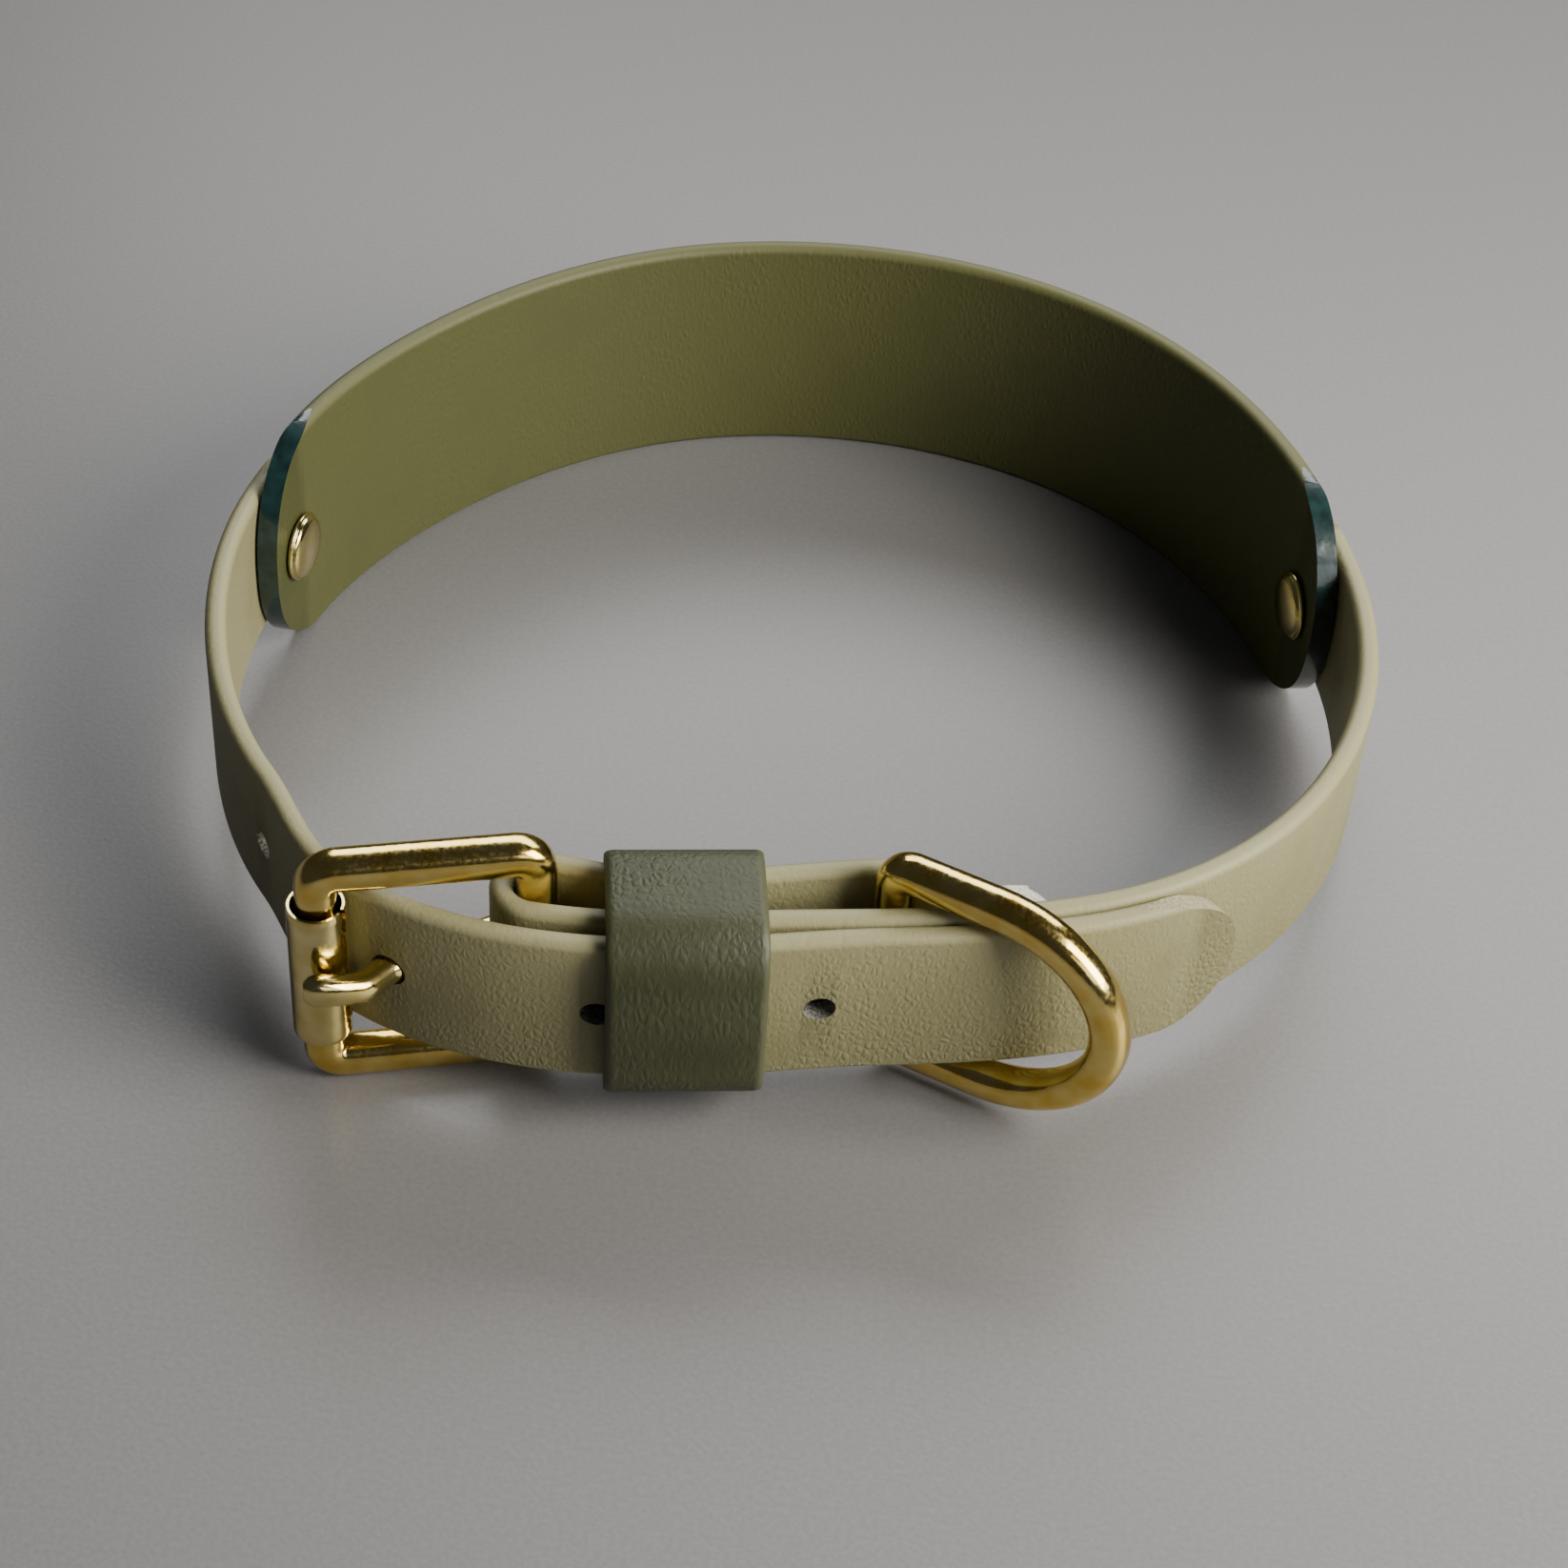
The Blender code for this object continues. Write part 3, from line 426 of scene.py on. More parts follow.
cut_fibre = fibre_core("cut webbing core", "#8C8664", "#B2AC8E")
frayed_fibre = fibre_core("frayed webbing end", "#A29D88", "#DAD7CA")
hole_fibre = fibre_core("punched hole fibre", "#3A3830", "#8C8A80")
teal_paint = mottled("teal edge paint", 0.26, 1.8 * MM, 2.0, [(0.35, "#112625"), (0.65, "#1F3A3B")],
                     0.5, 0.15 * MM, Coat_Weight=0.5, Coat_Roughness=0.08)

# %% [markdown]
# ## Gold plating
# The fittings are zinc or brass castings and bent wire under bright gold plating. Plating is a
# mirror with a slightly uneven surface: long waves from polishing, small pits, and a warmer tone
# in the hollows. The colour is the metal's reflection colour, so it goes to Base Color with
# Metallic at 1, and the roughness varies a little.

# %% Plating material
POLISH_WAVE = 2.6 * MM
PIT = 0.35 * MM
PIT_SHARE = 0.12


def plating(name, warm, bright, roughness, pit_depth):
    finish, tree, shader, place = new_material(name, roughness, 1.0)
    waves, grit = noise(tree, place, 1 / POLISH_WAVE, 2.0), noise(tree, place, 1 / PIT, 3.0)
    tree.links.new(ramp(tree, waves, [(0.3, warm), (0.7, bright)]), shader.inputs["Base Color"])
    tree.links.new(remap(tree, grit, roughness - 0.05, roughness + 0.07, 0.3, 0.7),
                   shader.inputs["Roughness"])
    emboss(tree, shader, scaled_sum(tree, grit, PIT_SHARE, waves), 0.35, pit_depth)
    return finish


gold = plating("polished gold plating", "#DDBA55", "#F0D988", 0.15, 0.12 * MM)
pale_gold = plating("rolled gold plating", "#D8C274", "#EADDA0", 0.14, 0.10 * MM)

# %% [markdown]
# ## From shapes to pieces
# A finished piece is one mesh at the origin that rides on a CAD body and stands for its CAD node.
# These helpers turn points into meshes, cut with booleans, and register the piece.

# %% Piece helpers
collar_parts = bpy.data.collections.new("collar")
bpy.context.scene.collection.children.link(collar_parts)
SMOOTH_TO = radians(38)
MERGE = 0.00005 * MM


def in_place(places):
    """Plan points with heights, moved over the origin."""
    places = np.array(places, dtype=float)
    places[:, :2] += shift
    return places


def held(value):
    return min(max(value, 0.0), 1.0)


def upright(base, direction, outline):
    """Stands an outline in the upright plane through a plan point, along a direction."""
    return in_place([(*(base + direction * a), FRONT_MIDDLE + z) for a, z in outline])


def add_mesh(name, mesh, finishes=()):
    piece = bpy.data.objects.new(name, mesh)
    collar_parts.objects.link(piece)
    for finish in finishes:
        mesh.materials.append(finish)
    return piece


def piece_from(name, bm, finishes=()):
    """Ends the bmesh as a mesh object."""
    mesh = bpy.data.meshes.new(name)
    bm.to_mesh(mesh)
    bm.free()
    return add_mesh(name, mesh, finishes)


def baked(piece):
    """The piece with its modifiers applied, as a plain mesh object."""
    bpy.context.view_layer.update()
    ready = piece.evaluated_get(bpy.context.evaluated_depsgraph_get())
    mesh = bpy.data.meshes.new_from_object(ready)
    name = piece.name
    old = piece.data
    bpy.data.objects.remove(piece)
    if old.users == 0:
        (bpy.data.curves if isinstance(old, bpy.types.Curve) else bpy.data.meshes).remove(old)
    mesh.name = name
    return add_mesh(name, mesh)


def cut_with(piece, cutters, folded=False):
    """Cuts the piece with each cutter. A cut wall takes the cutter's own material."""
    for cutter in cutters:
        knife = piece.modifiers.new(cutter.name, "BOOLEAN")
        knife.operation = "DIFFERENCE"
        knife.solver = "EXACT"
        knife.material_mode = "TRANSFER"
        knife.use_self = folded
        knife.object = cutter
    result = baked(piece)
    for cutter in cutters:
        bpy.data.objects.remove(cutter)
    return result


def tidy_normals(mesh):
    bm = bmesh.new()
    bm.from_mesh(mesh)
    bmesh.ops.remove_doubles(bm, verts=bm.verts, dist=MERGE)
    bmesh.ops.recalc_face_normals(bm, faces=bm.faces)
    bm.to_mesh(mesh)
    bm.free()
    mesh.shade_smooth()
    mesh.set_sharp_from_angle(angle=SMOOTH_TO)


def register(piece, body, node):
    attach(piece, body)
    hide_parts(node)
    faces = sum(len(face.vertices) - 2 for face in piece.data.polygons)
    print(piece.name, "for", node, "with", faces, "triangles")


def sweep(name, path, normals, section, closed=False, finishes=()):
    """A solid swept along 3-D points. section(i) gives (along the normal, across) pairs."""
    path = np.asarray(path)
    normals = np.broadcast_to(normals, path.shape)
    count = len(path)
    ahead = np.roll(path, -1, axis=0)
    behind = np.roll(path, 1, axis=0)
    if not closed:
        ahead[-1], behind[0] = path[-1], path[0]
    tangents = ahead - behind
    tangents /= np.linalg.norm(tangents, axis=1)[:, None]
    bm = bmesh.new()
    rings = []
    for i in range(count):
        normal = normals[i] - tangents[i] * (normals[i] @ tangents[i])
        normal /= np.linalg.norm(normal)
        across = np.cross(tangents[i], normal)
        rings.append([bm.verts.new(path[i] + normal * a + across * b) for a, b in section(i)])
    for i in range(count if closed else count - 1):
        first, second = rings[i], rings[(i + 1) % count]
        for j in range(len(first)):
            k = (j + 1) % len(first)
            bm.faces.new((first[j], first[k], second[k], second[j]))
    if not closed:
        bm.faces.new(rings[0])
        bm.faces.new(rings[-1])
    piece = piece_from(name, bm, finishes)
    tidy_normals(piece.data)
    return piece


def oval(a, b, power, count=32):
    """A rounded section between a circle (power 2) and a box (higher powers)."""
    points = []
    for turn in np.linspace(0, 2 * pi, count, endpoint=False):
        c, s = cos(turn), sin(turn)
        points.append((a * copysign(abs(c) ** (2 / power), c),
                       b * copysign(abs(s) ** (2 / power), s)))
    return points


def rounded_box(width, height, corner_x, corner_y, steps):
    """The outline of a box whose corners are quarters of an oval."""
    points = []
    for quarter, (x, y) in enumerate(((1, 1), (-1, 1), (-1, -1), (1, -1))):
        for turn in np.linspace(0, pi / 2, steps) + quarter * pi / 2:
            points.append((x * (width / 2 - corner_x) + corner_x * cos(turn),
                           y * (height / 2 - corner_y) + corner_y * sin(turn)))
    return np.array(points)


def dense(points, step):
    """More points along a closed outline, so that a long side bends and shades evenly."""
    result = []
    for first, second in zip(points, np.roll(points, -1, axis=0)):
        count = max(1, int(np.linalg.norm(second - first) / step))
        result += [first + (second - first) * t / count for t in range(count)]
    return np.array(result)


# %% [markdown]
# ## Webbing that follows its line
# On the real collar the webbing is extruded with round edges, then cut and punched. The same order
# works here: a Geometry Nodes tree stands a rounded section on a path, and the holes and round ends
# are cut afterwards. A node tree suits this because all three strips are one rule with other sizes.

# %% The webbing node tree
def webbing_tree():
    tree = bpy.data.node_groups.new("webbing on a path", "GeometryNodeTree")
    for name, kind in (("Path", "Geometry"), ("Width", "Float"), ("Thickness", "Float"),
                       ("Edge Radius", "Float"), ("Edge Steps", "Int"), ("Finish", "Material"),
                       ("Strip", "Geometry")):
        tree.interface.new_socket(name=name, in_out="OUTPUT" if name == "Strip" else "INPUT",
                                  socket_type="NodeSocket" + kind)
    given = add(tree, "NodeGroupInput")
    upright = add(tree, "GeometryNodeSetCurveNormal", {"mode": "Z_UP"}, None,
                  {"Curve": given.outputs["Path"]})
    profile = add(tree, "GeometryNodeCurvePrimitiveQuadrilateral", None, None,
                  {"Width": given.outputs["Thickness"], "Height": given.outputs["Width"]})
    rounded = add(tree, "GeometryNodeFilletCurve", {"mode": "POLY"}, {"Limit Radius": True},
                  {"Curve": profile.outputs["Curve"], "Radius": given.outputs["Edge Radius"],
                   "Count": given.outputs["Edge Steps"]})
    solid = add(tree, "GeometryNodeCurveToMesh", None, {"Fill Caps": True},
                {"Curve": upright.outputs["Curve"], "Profile Curve": rounded.outputs["Curve"]})
    whole = add(tree, "GeometryNodeRealizeInstances", None, None,
                {"Geometry": solid.outputs["Mesh"]})
    painted = add(tree, "GeometryNodeSetMaterial", None, None,
                  {"Geometry": whole.outputs["Geometry"], "Material": given.outputs["Finish"]})
    add(tree, "NodeGroupOutput", None, None, {"Strip": painted.outputs["Geometry"]})
    return tree


def set_input(modifier, name, value):
    for socket in modifier.node_group.interface.items_tree:
        if socket.name == name and socket.in_out == "INPUT":
            modifier[socket.identifier] = value


webbing_nodes = webbing_tree()
EDGE_RADIUS = 0.85 * MM
EDGE_MOST = 0.46
EDGE_STEPS = 7
PATH_STEP = 0.6 * MM


def extruded(name, path, width, thickness, finish):
    """Webbing along 3-D points, with square ends."""
    curve = bpy.data.curves.new(name, "CURVE")
    curve.dimensions = "3D"
    spline = curve.splines.new("POLY")
    spline.points.add(len(path) - 1)
    spline.points.foreach_set("co", np.column_stack([path, np.ones(len(path))]).ravel())
    piece = bpy.data.objects.new(name, curve)
    collar_parts.objects.link(piece)
    nodes = piece.modifiers.new("webbing", "NODES")
    nodes.node_group = webbing_nodes
    for socket, value in (("Width", width), ("Thickness", thickness), ("Edge Steps", EDGE_STEPS),
                          ("Edge Radius", min(EDGE_RADIUS, thickness * EDGE_MOST)),
                          ("Finish", finish)):
        set_input(nodes, socket, value)
    strip = baked(piece)
    tidy_normals(strip.data)
    return strip


def path_points(line, height, lead=0.0):
    """3-D points along a plan line, run on past both ends by a lead that is cut off later."""
    count = int(line.length / PATH_STEP)
    s = np.linspace(0, line.length, count)
    plan = line.point(s)
    first = plan[0] - line.tangent(0.0) * lead
    last = plan[-1] + line.tangent(line.length) * lead
    heights = np.array([height(v) for v in s])
    plan = np.vstack([first, plan, last])
    heights = np.concatenate([heights[:1], heights, heights[-1:]])
    return in_place(np.column_stack([plan, heights]))


# %% [markdown]
# ## Knives
# A punch is a round cutter across the strap. The round end is cut by a block with a bite taken out
# of it. Each knife carries the material that its cut leaves behind.

# %% Punches and end knives
UP = Vector((0, 0, 1))
PUNCH_SIDES = 40
END_STEPS = 40
END_FLAT = 0.9 * MM
KNIFE_LEAD = 1.5 * MM
KNIFE_PAST = 0.3 * MM
KNIFE_OVERLAP = 2.0 * MM
EDGE_SOFT = 0.8


def stood_on(place, direction, height):
    """A frame at a plan point: X along the strap, Y up, Z outward."""
    outward = Vector((direction[0], direction[1], 0)).normalized()
    turn = Matrix((UP.cross(outward), UP, outward)).transposed().to_4x4()
    spot = np.asarray(place) + shift
    return Matrix.Translation((spot[0], spot[1], height)) @ turn


def knife_from(name, bm, matrix, finish):
    bmesh.ops.transform(bm, matrix=matrix, verts=bm.verts)
    bmesh.ops.recalc_face_normals(bm, faces=bm.faces)
    return piece_from(name, bm, [finish])


def punch(name, place, direction, height, diameter, depth, stretch=1.0):
    bm = bmesh.new()
    bmesh.ops.create_cone(bm, cap_ends=True, segments=PUNCH_SIDES, radius1=diameter / 2,
                          radius2=diameter / 2, depth=depth)
    bmesh.ops.scale(bm, vec=(stretch, 1, 1), verts=bm.verts)
    return knife_from(name, bm, stood_on(place, direction, height), hole_fibre)


def rivet_punch(name, at, depth):
    return punch(name, loop.point(at), loop.outward(at), PANEL_MIDDLE, RIVET_POST + 2 * GAP, depth)


def round_off(distance, radius):
    if distance >= radius:
        return 0.0
    return radius - sqrt(max(radius**2 - (radius - distance)**2, 0.0))


def end_knife(name, line, at_start, height, width, radius, depth, finish):
    """Cuts the square end of a strip to its round outline."""
    end = 0.0 if at_start else line.length
    place, out = line.point(end), line.outward(end)
    run = line.tangent(end) * (1.0 if at_start else -1.0)
    narrow = min(radius, width / 2 - END_FLAT)
    outline = []
    for turn in np.linspace(0, pi / 2, END_STEPS):
        distance = radius * (1 - cos(turn))
        outline.append((distance, width / 2 - round_off(distance, radius) / radius * narrow))
    beyond, wide = -KNIFE_LEAD - KNIFE_PAST, width / 2 + KNIFE_OVERLAP
    shape = ([(beyond, -wide), (beyond, wide), (radius, wide), (radius, width / 2)]
             + outline[::-1][1:] + [(d, -h) for d, h in outline][:-1]
             + [(radius, -width / 2), (radius, -wide)])
    bm = bmesh.new()
    sides = []
    for level in (-depth / 2, depth / 2):
        row = []
        for d, h in shape:
            spot = place + shift + run * d + out * level
            row.append(bm.verts.new((spot[0], spot[1], height + h)))
        sides.append(row)
    for i in range(len(shape)):
        j = (i + 1) % len(shape)
        bm.faces.new((sides[0][i], sides[0][j], sides[1][j], sides[1][i]))
    for row in sides:
        bm.faces.new(row)
    bmesh.ops.triangulate(bm, faces=[f for f in bm.faces if len(f.verts) > 4])
    return knife_from(name, bm, Matrix.Identity(4), finish)


def mark_edges(mesh, middle, across, width, fade):
    """Stores how near each point is to the webbing's edges, for the smoother coat and the pale
    painted highlight there.
    """
    mesh.attributes.new("edge", "FLOAT", "POINT").data.foreach_set("value", [
        held((abs((v.co - middle).dot(across)) - (width / 2 - fade)) / (fade * EDGE_SOFT))
        for v in mesh.vertices])


def finish_strip(strip, height, width, fade, node):
    mark_edges(strip.data, Vector((0, 0, height)), UP, width, fade)
    tidy_normals(strip.data)
    register(strip, "collar", node)


# %% [markdown]
# ## The back panel
# A strip of wider olive webbing with round ends. It carries the rivets. Its cut ends are painted
# teal, so the end knives carry the edge paint.

# %% Back panel
PANEL_KNIFE = 12 * MM
PANEL_PUNCH = 20 * MM
PANEL_FADE = 1.2 * MM
RIVETS = (("left", left_rivet_at), ("right", right_rivet_at))
panel = extruded("panel_webbing", path_points(panel_line, lambda s: PANEL_MIDDLE, KNIFE_LEAD),
                 PANEL_HEIGHT, PANEL_THICKNESS, olive)
panel_knives = [end_knife("panel " + side + " end", panel_line, side == "right", PANEL_MIDDLE,
                          PANEL_HEIGHT, PANEL_END_RADIUS, PANEL_KNIFE, teal_paint)
                for side in ("right", "left")]
panel_knives += [rivet_punch("panel rivet hole " + side, at, PANEL_PUNCH) for side, at in RIVETS]
finish_strip(cut_with(panel, panel_knives), PANEL_MIDDLE, PANEL_HEIGHT, PANEL_FADE,
             "back_panel")


# %% [markdown]
# ## The prong's way
# The prong is a bent wire: it wraps the heel bar, comes out through a hole in the long strap and
# lies over the roller. The strap needs its hole where the wire passes, so the path comes first.

# %% Prong path
Bend = namedtuple("Bend", "reach drop")
PRONG_NEAR_BENDS = [Bend(0.38, 0.62), Bend(0.80, 0.02)]
PRONG_FAR_BENDS = [Bend(0.0, 0.26), Bend(0.48, 0.82), Bend(1.0, 1.0)]
PRONG_LIFT = 1.4 * MM


def prong_hole_station():
    across = (outer_ring.points - heel) @ frame_out
    near = np.where((outer_ring.along > outer_ring.nearest(roller))
                    & (outer_ring.along < outer_ring.nearest(heel)))[0]
    return outer_ring.along[near[int(np.argmin(np.abs(across[near])))]]


def prong_path(wrap_steps, steps):
    """From the eye round the heel bar, out through the strap and over the roller."""
    hole = (outer_ring.point(prong_hole_station()) - heel) @ frame_run
    over = ROLLER_RADIUS + GAP + PRONG_WIRE / 2
    wrap = [(EYE_RADIUS * sin(a), -EYE_RADIUS * cos(a))
            for a in -np.linspace(PRONG_WRAP, 0, wrap_steps)]
    knots = [(0.0, -EYE_RADIUS)]
    knots += [(hole * bend.reach, -EYE_RADIUS * bend.drop) for bend in PRONG_NEAR_BENDS]
    knots += [(hole + (BAR_SPACING - hole) * bend.reach, over * bend.drop)
              for bend in PRONG_FAR_BENDS]
    knots = np.array(knots + [(BAR_SPACING + PRONG_OVERHANG, over)])
    reach = np.linspace(0, knots[-1, 0], steps)[1:]
    rise = smooth_table(knots[:, 0], knots[:, 1], reach)
    plan = np.array(wrap + list(zip(reach, rise)))
    lift = smooth_table([0.0, hole, knots[-1, 0]], [0.0, 0.0, PRONG_LIFT], plan[:, 0])
    places = heel + plan[:, :1] * frame_run + plan[:, 1:] * frame_out
    return in_place(np.column_stack([places, FRONT_MIDDLE + lift]))


# %% [markdown]
# ## The long strap
# Riveted to the panel's left end, it runs inside the roller and comes out over the folded end,
# then under the keeper and on to its free tip. Its punched holes are a little oval, because a round
# punch opens soft webbing, and the cut shows grey fibre.

# %% Long strap
STRAP_KNIFE = 6 * MM
STRAP_FADE = 1.3 * MM
STRAP_LEVEL = (PANEL_MIDDLE + FRONT_MIDDLE) / 2
HOLE_TALL, HOLE_STRETCH = 0.92, 1.12
EYE_STEPS = 17
strap_start = outer_ring.nearest(loop.point(left_rivet_at)) - STRAP_END_RADIUS
hole_at = prong_hole_station()
strap_line = Line(outer_ring.part(strap_start, hole_at + FREE_END))
strap_low = loop.nearest(outer_ring.point(strap_start))


def strap_height(s):
    return float(middle_height(strap_low + s))


long_strap = extruded("long_strap_webbing", path_points(strap_line, strap_height, KNIFE_LEAD),
                      STRAP_WIDTH, STRAP_THICKNESS, khaki)
strap_knives = [
    end_knife("tip", strap_line, False, FRONT_MIDDLE, STRAP_WIDTH, TIP_RADIUS, STRAP_KNIFE,
              cut_fibre),
    end_knife("riveted end", strap_line, True, PANEL_MIDDLE, STRAP_WIDTH, STRAP_END_RADIUS,
              STRAP_KNIFE, cut_fibre),
    rivet_punch("rivet hole", left_rivet_at, STRAP_KNIFE),
]
for step in range(-HOLES_BEFORE_PRONG, HOLES_AFTER_PRONG + 1):
    at = hole_at + step * HOLE_PITCH
    if step:
        strap_knives.append(punch("strap hole " + str(step), outer_ring.point(at),
                                  outer_ring.outward(at), strap_height(at - strap_start),
                                  HOLE_DIAMETER * HOLE_TALL, STRAP_KNIFE, HOLE_STRETCH))
# Only the stretch past the eye goes through the strap
strap_knives.append(sweep("prong way", prong_path(EYE_STEPS, 25)[EYE_STEPS - 1:], UP,
                          lambda i: oval(PRONG_WIRE / 2 + GAP, PRONG_WIRE / 2 + GAP, 2, 24),
                          finishes=[hole_fibre]))
finish_strip(cut_with(long_strap, strap_knives), STRAP_LEVEL, STRAP_WIDTH, STRAP_FADE,
             "long_strap")

# %% [markdown]
# ## The buckle strap
# Riveted to the panel's right end, it carries the D-ring, folds round the heel bar and comes back
# inside as a short tail. The prong's eye sits in a slot at the fold. A plain boolean lost part of
# this folded strip, so its knives are told to look for faces that cross.

# %% Buckle strap
FOLD_STEPS = 60
# The tail's knife is barely thicker than the tail, so it stays clear of the strap beside it
TAIL_KNIFE = STRAP_THICKNESS + 0.16 * MM
fold_start = right_rivet_at + STRAP_END_RADIUS
front_run = loop.part(fold_start, heel_at)
heel_tangent, heel_out = loop.tangent(heel_at), loop.outward(heel_at)
fold_turn = np.linspace(0, pi, FOLD_STEPS)[1:-1, None]
fold_bend = heel + HEEL_INSET * (heel_out * np.cos(fold_turn) - heel_tangent * np.sin(fold_turn))
tail_run = tail_ring.part(tail_ring.nearest(heel - heel_out * HEEL_INSET),
                          tail_ring.nearest(loop.point(tail_end_at)))
fold_line = Line(np.vstack([front_run, fold_bend, tail_run]))


def fold_height(s):
    return float(middle_height(fold_start - min(s, fold_start - heel_at)))


buckle_strap = extruded("buckle_strap_webbing", path_points(fold_line, fold_height, KNIFE_LEAD),
                        STRAP_WIDTH, STRAP_THICKNESS, khaki)
slot_reach = EYE_CLEAR + 2 * GAP
bm = bmesh.new()
bmesh.ops.create_cube(bm, size=1.0)
bmesh.ops.scale(bm, vec=(2 * slot_reach, PRONG_WIRE + 2 * GAP, 2 * slot_reach + STRAP_THICKNESS),
                verts=bm.verts)
slot_knife = knife_from("prong slot", bm, stood_on(heel + heel_tangent * GAP, heel_out,
                                                   FRONT_MIDDLE), cut_fibre)
buckle_strap = cut_with(buckle_strap, [
    slot_knife,
    end_knife("riveted end", fold_line, True, PANEL_MIDDLE, STRAP_WIDTH, STRAP_END_RADIUS,
              STRAP_KNIFE, cut_fibre),
    end_knife("tail end", fold_line, False, FRONT_MIDDLE, STRAP_WIDTH, TAIL_END_RADIUS,
              TAIL_KNIFE, frayed_fibre),
    rivet_punch("rivet hole", right_rivet_at, STRAP_KNIFE),
], folded=True)
finish_strip(buckle_strap, STRAP_LEVEL, STRAP_WIDTH, STRAP_FADE, "buckle_strap")


# %% [markdown]
# ## The keeper
# A band of darker webbing bent round the three layers. It is wider than it is thick, so its
# section is swept round a rounded box. Its long creases run round the band.

# %% Keeper
KEEPER_BEND = 4.8 * MM
KEEPER_STEP = 0.6 * MM
KEEPER_EDGE = 0.8 * MM
KEEPER_FADE = 1.0 * MM
CROWN = 0.30 * MM
keeper_out, keeper_base = loop.outward(keeper_at), loop.point(keeper_at)
faces = []
for station in np.linspace(keeper_at - KEEPER_WIDTH / 2, keeper_at + KEEPER_WIDTH / 2, 15):
    for ring in (outer_ring, tail_ring):
        s = ring.nearest(loop.point(station))
        for side in (-1, 1):
            edge_point = ring.point(s) + ring.outward(s) * side * STRAP_THICKNESS / 2
            faces.append((edge_point - keeper_base) @ keeper_out)
half_wall = KEEPER_WALL / 2
far, near = max(faces) + GAP + half_wall, min(faces) - GAP - half_wall
keeper_tall = STRAP_WIDTH + 2 * GAP + KEEPER_WALL
outer_wall = dense(rounded_box(far - near + KEEPER_WALL, keeper_tall + KEEPER_WALL,
                               KEEPER_BEND, KEEPER_BEND, 15), KEEPER_STEP)
# Each inner point is the one nearest to its outer point, so the wall stands square to the band
inner_half = np.array([far - near - KEEPER_WALL, keeper_tall - KEEPER_WALL]) / 2
inner_bend = KEEPER_CORNER - KEEPER_WALL
core = np.clip(outer_wall, inner_bend - inner_half, inner_half - inner_bend)
away = outer_wall - core
inner_wall = core + away / np.linalg.norm(away, axis=1)[:, None] * inner_bend
# The band is drawn tight at its corners, so its flat sides stand a little proud
flat_half = (keeper_tall + KEEPER_WALL) / 2 - KEEPER_BEND
level = np.clip(np.abs(outer_wall[:, 1]) / flat_half, 0, 1)
outer_wall[:, 0] += np.sign(outer_wall[:, 0]) * CROWN * (1 - level**2) ** 2
keeper_wall = np.linalg.norm(outer_wall - inner_wall, axis=1)
keeper_normals = [(*(keeper_out * a), z) for a, z in outer_wall - inner_wall]


def keeper_section(i):
    """The band's section: its wall thickness along the normal, its width across."""
    return rounded_box(keeper_wall[i], KEEPER_WIDTH, min(KEEPER_EDGE, keeper_wall[i] * 0.45),
                       KEEPER_EDGE, 6)


keeper = sweep("keeper_band", upright(keeper_base, keeper_out, (outer_wall + inner_wall) / 2
                                      + ((far + near) / 2, 0)),
               keeper_normals, keeper_section, True, [dark_olive])
# The band's side edges get the same pale painted highlight
mark_edges(keeper.data, Vector((*(keeper_base + shift), 0)),
           Vector((-keeper_out[1], keeper_out[0], 0)), KEEPER_WIDTH, KEEPER_FADE)
register(keeper, "collar", "keeper_loop")

# %% [markdown]
# ## The buckle frame
# A casting: a softly squared bar all round, with full outer corners. The bar under the roller is
# turned down to a round pin. Sweeping a section that changes along the way gives all of this in
# one solid, which a plain bevelled curve can't.

# %% Buckle frame
PIN_RADIUS = 1.72 * MM
PIN_EASE = 0.6 * MM
SHOULDER_RUN = 1.6 * MM
CAST_SQUARENESS = 0.5
OUTLINE_STEP = 0.5 * MM
ROLLER_HALF = FRAME_HEIGHT / 2 - FRAME_WIRE - FRAME_CORNER / 2 - ROLLER_END_PLAY
frame_bend = FRAME_CORNER - BAR_RADIUS / 2
frame_outline = dense(rounded_box(BAR_SPACING, FRAME_HEIGHT - FRAME_WIRE, frame_bend, frame_bend,
                                  14), OUTLINE_STEP)


def frame_section(i):
    a, z = frame_outline[i]
    on_pin = a > BAR_SPACING / 2 - PIN_EASE
    share = held((abs(z) - ROLLER_HALF + PIN_EASE) / SHOULDER_RUN) if on_pin else 1.0
    share = share * share * (3 - 2 * share)
    size = PIN_RADIUS + (BAR_RADIUS - PIN_RADIUS) * share
    return oval(size, size, 2.0 + CAST_SQUARENESS * share, 36)


buckle_frame = sweep("cast_frame", upright(heel + frame_run * BAR_SPACING / 2, frame_run,
                                           frame_outline),
                     (*frame_out, 0.0), frame_section, True, [gold])
register(buckle_frame, "collar", "buckle_frame")

# %% [markdown]
# ## The roller
# A strip of thin sheet rolled into a sleeve. Its two edges never quite meet, and the seam is a
# little ragged where the shear left it. The sleeve turns on the frame's pin, so it rides on its own
# body.

# %% Roller
SEAM_HALF = radians(7.0)
SEAM_FACES = radians(150.0)
SEAM_NICK = 0.22 * MM
SLEEVE_STEPS = 72
SLEEVE_ROWS = 45
SLEEVE_LIP = 0.14 * MM
rng = random.Random(7)


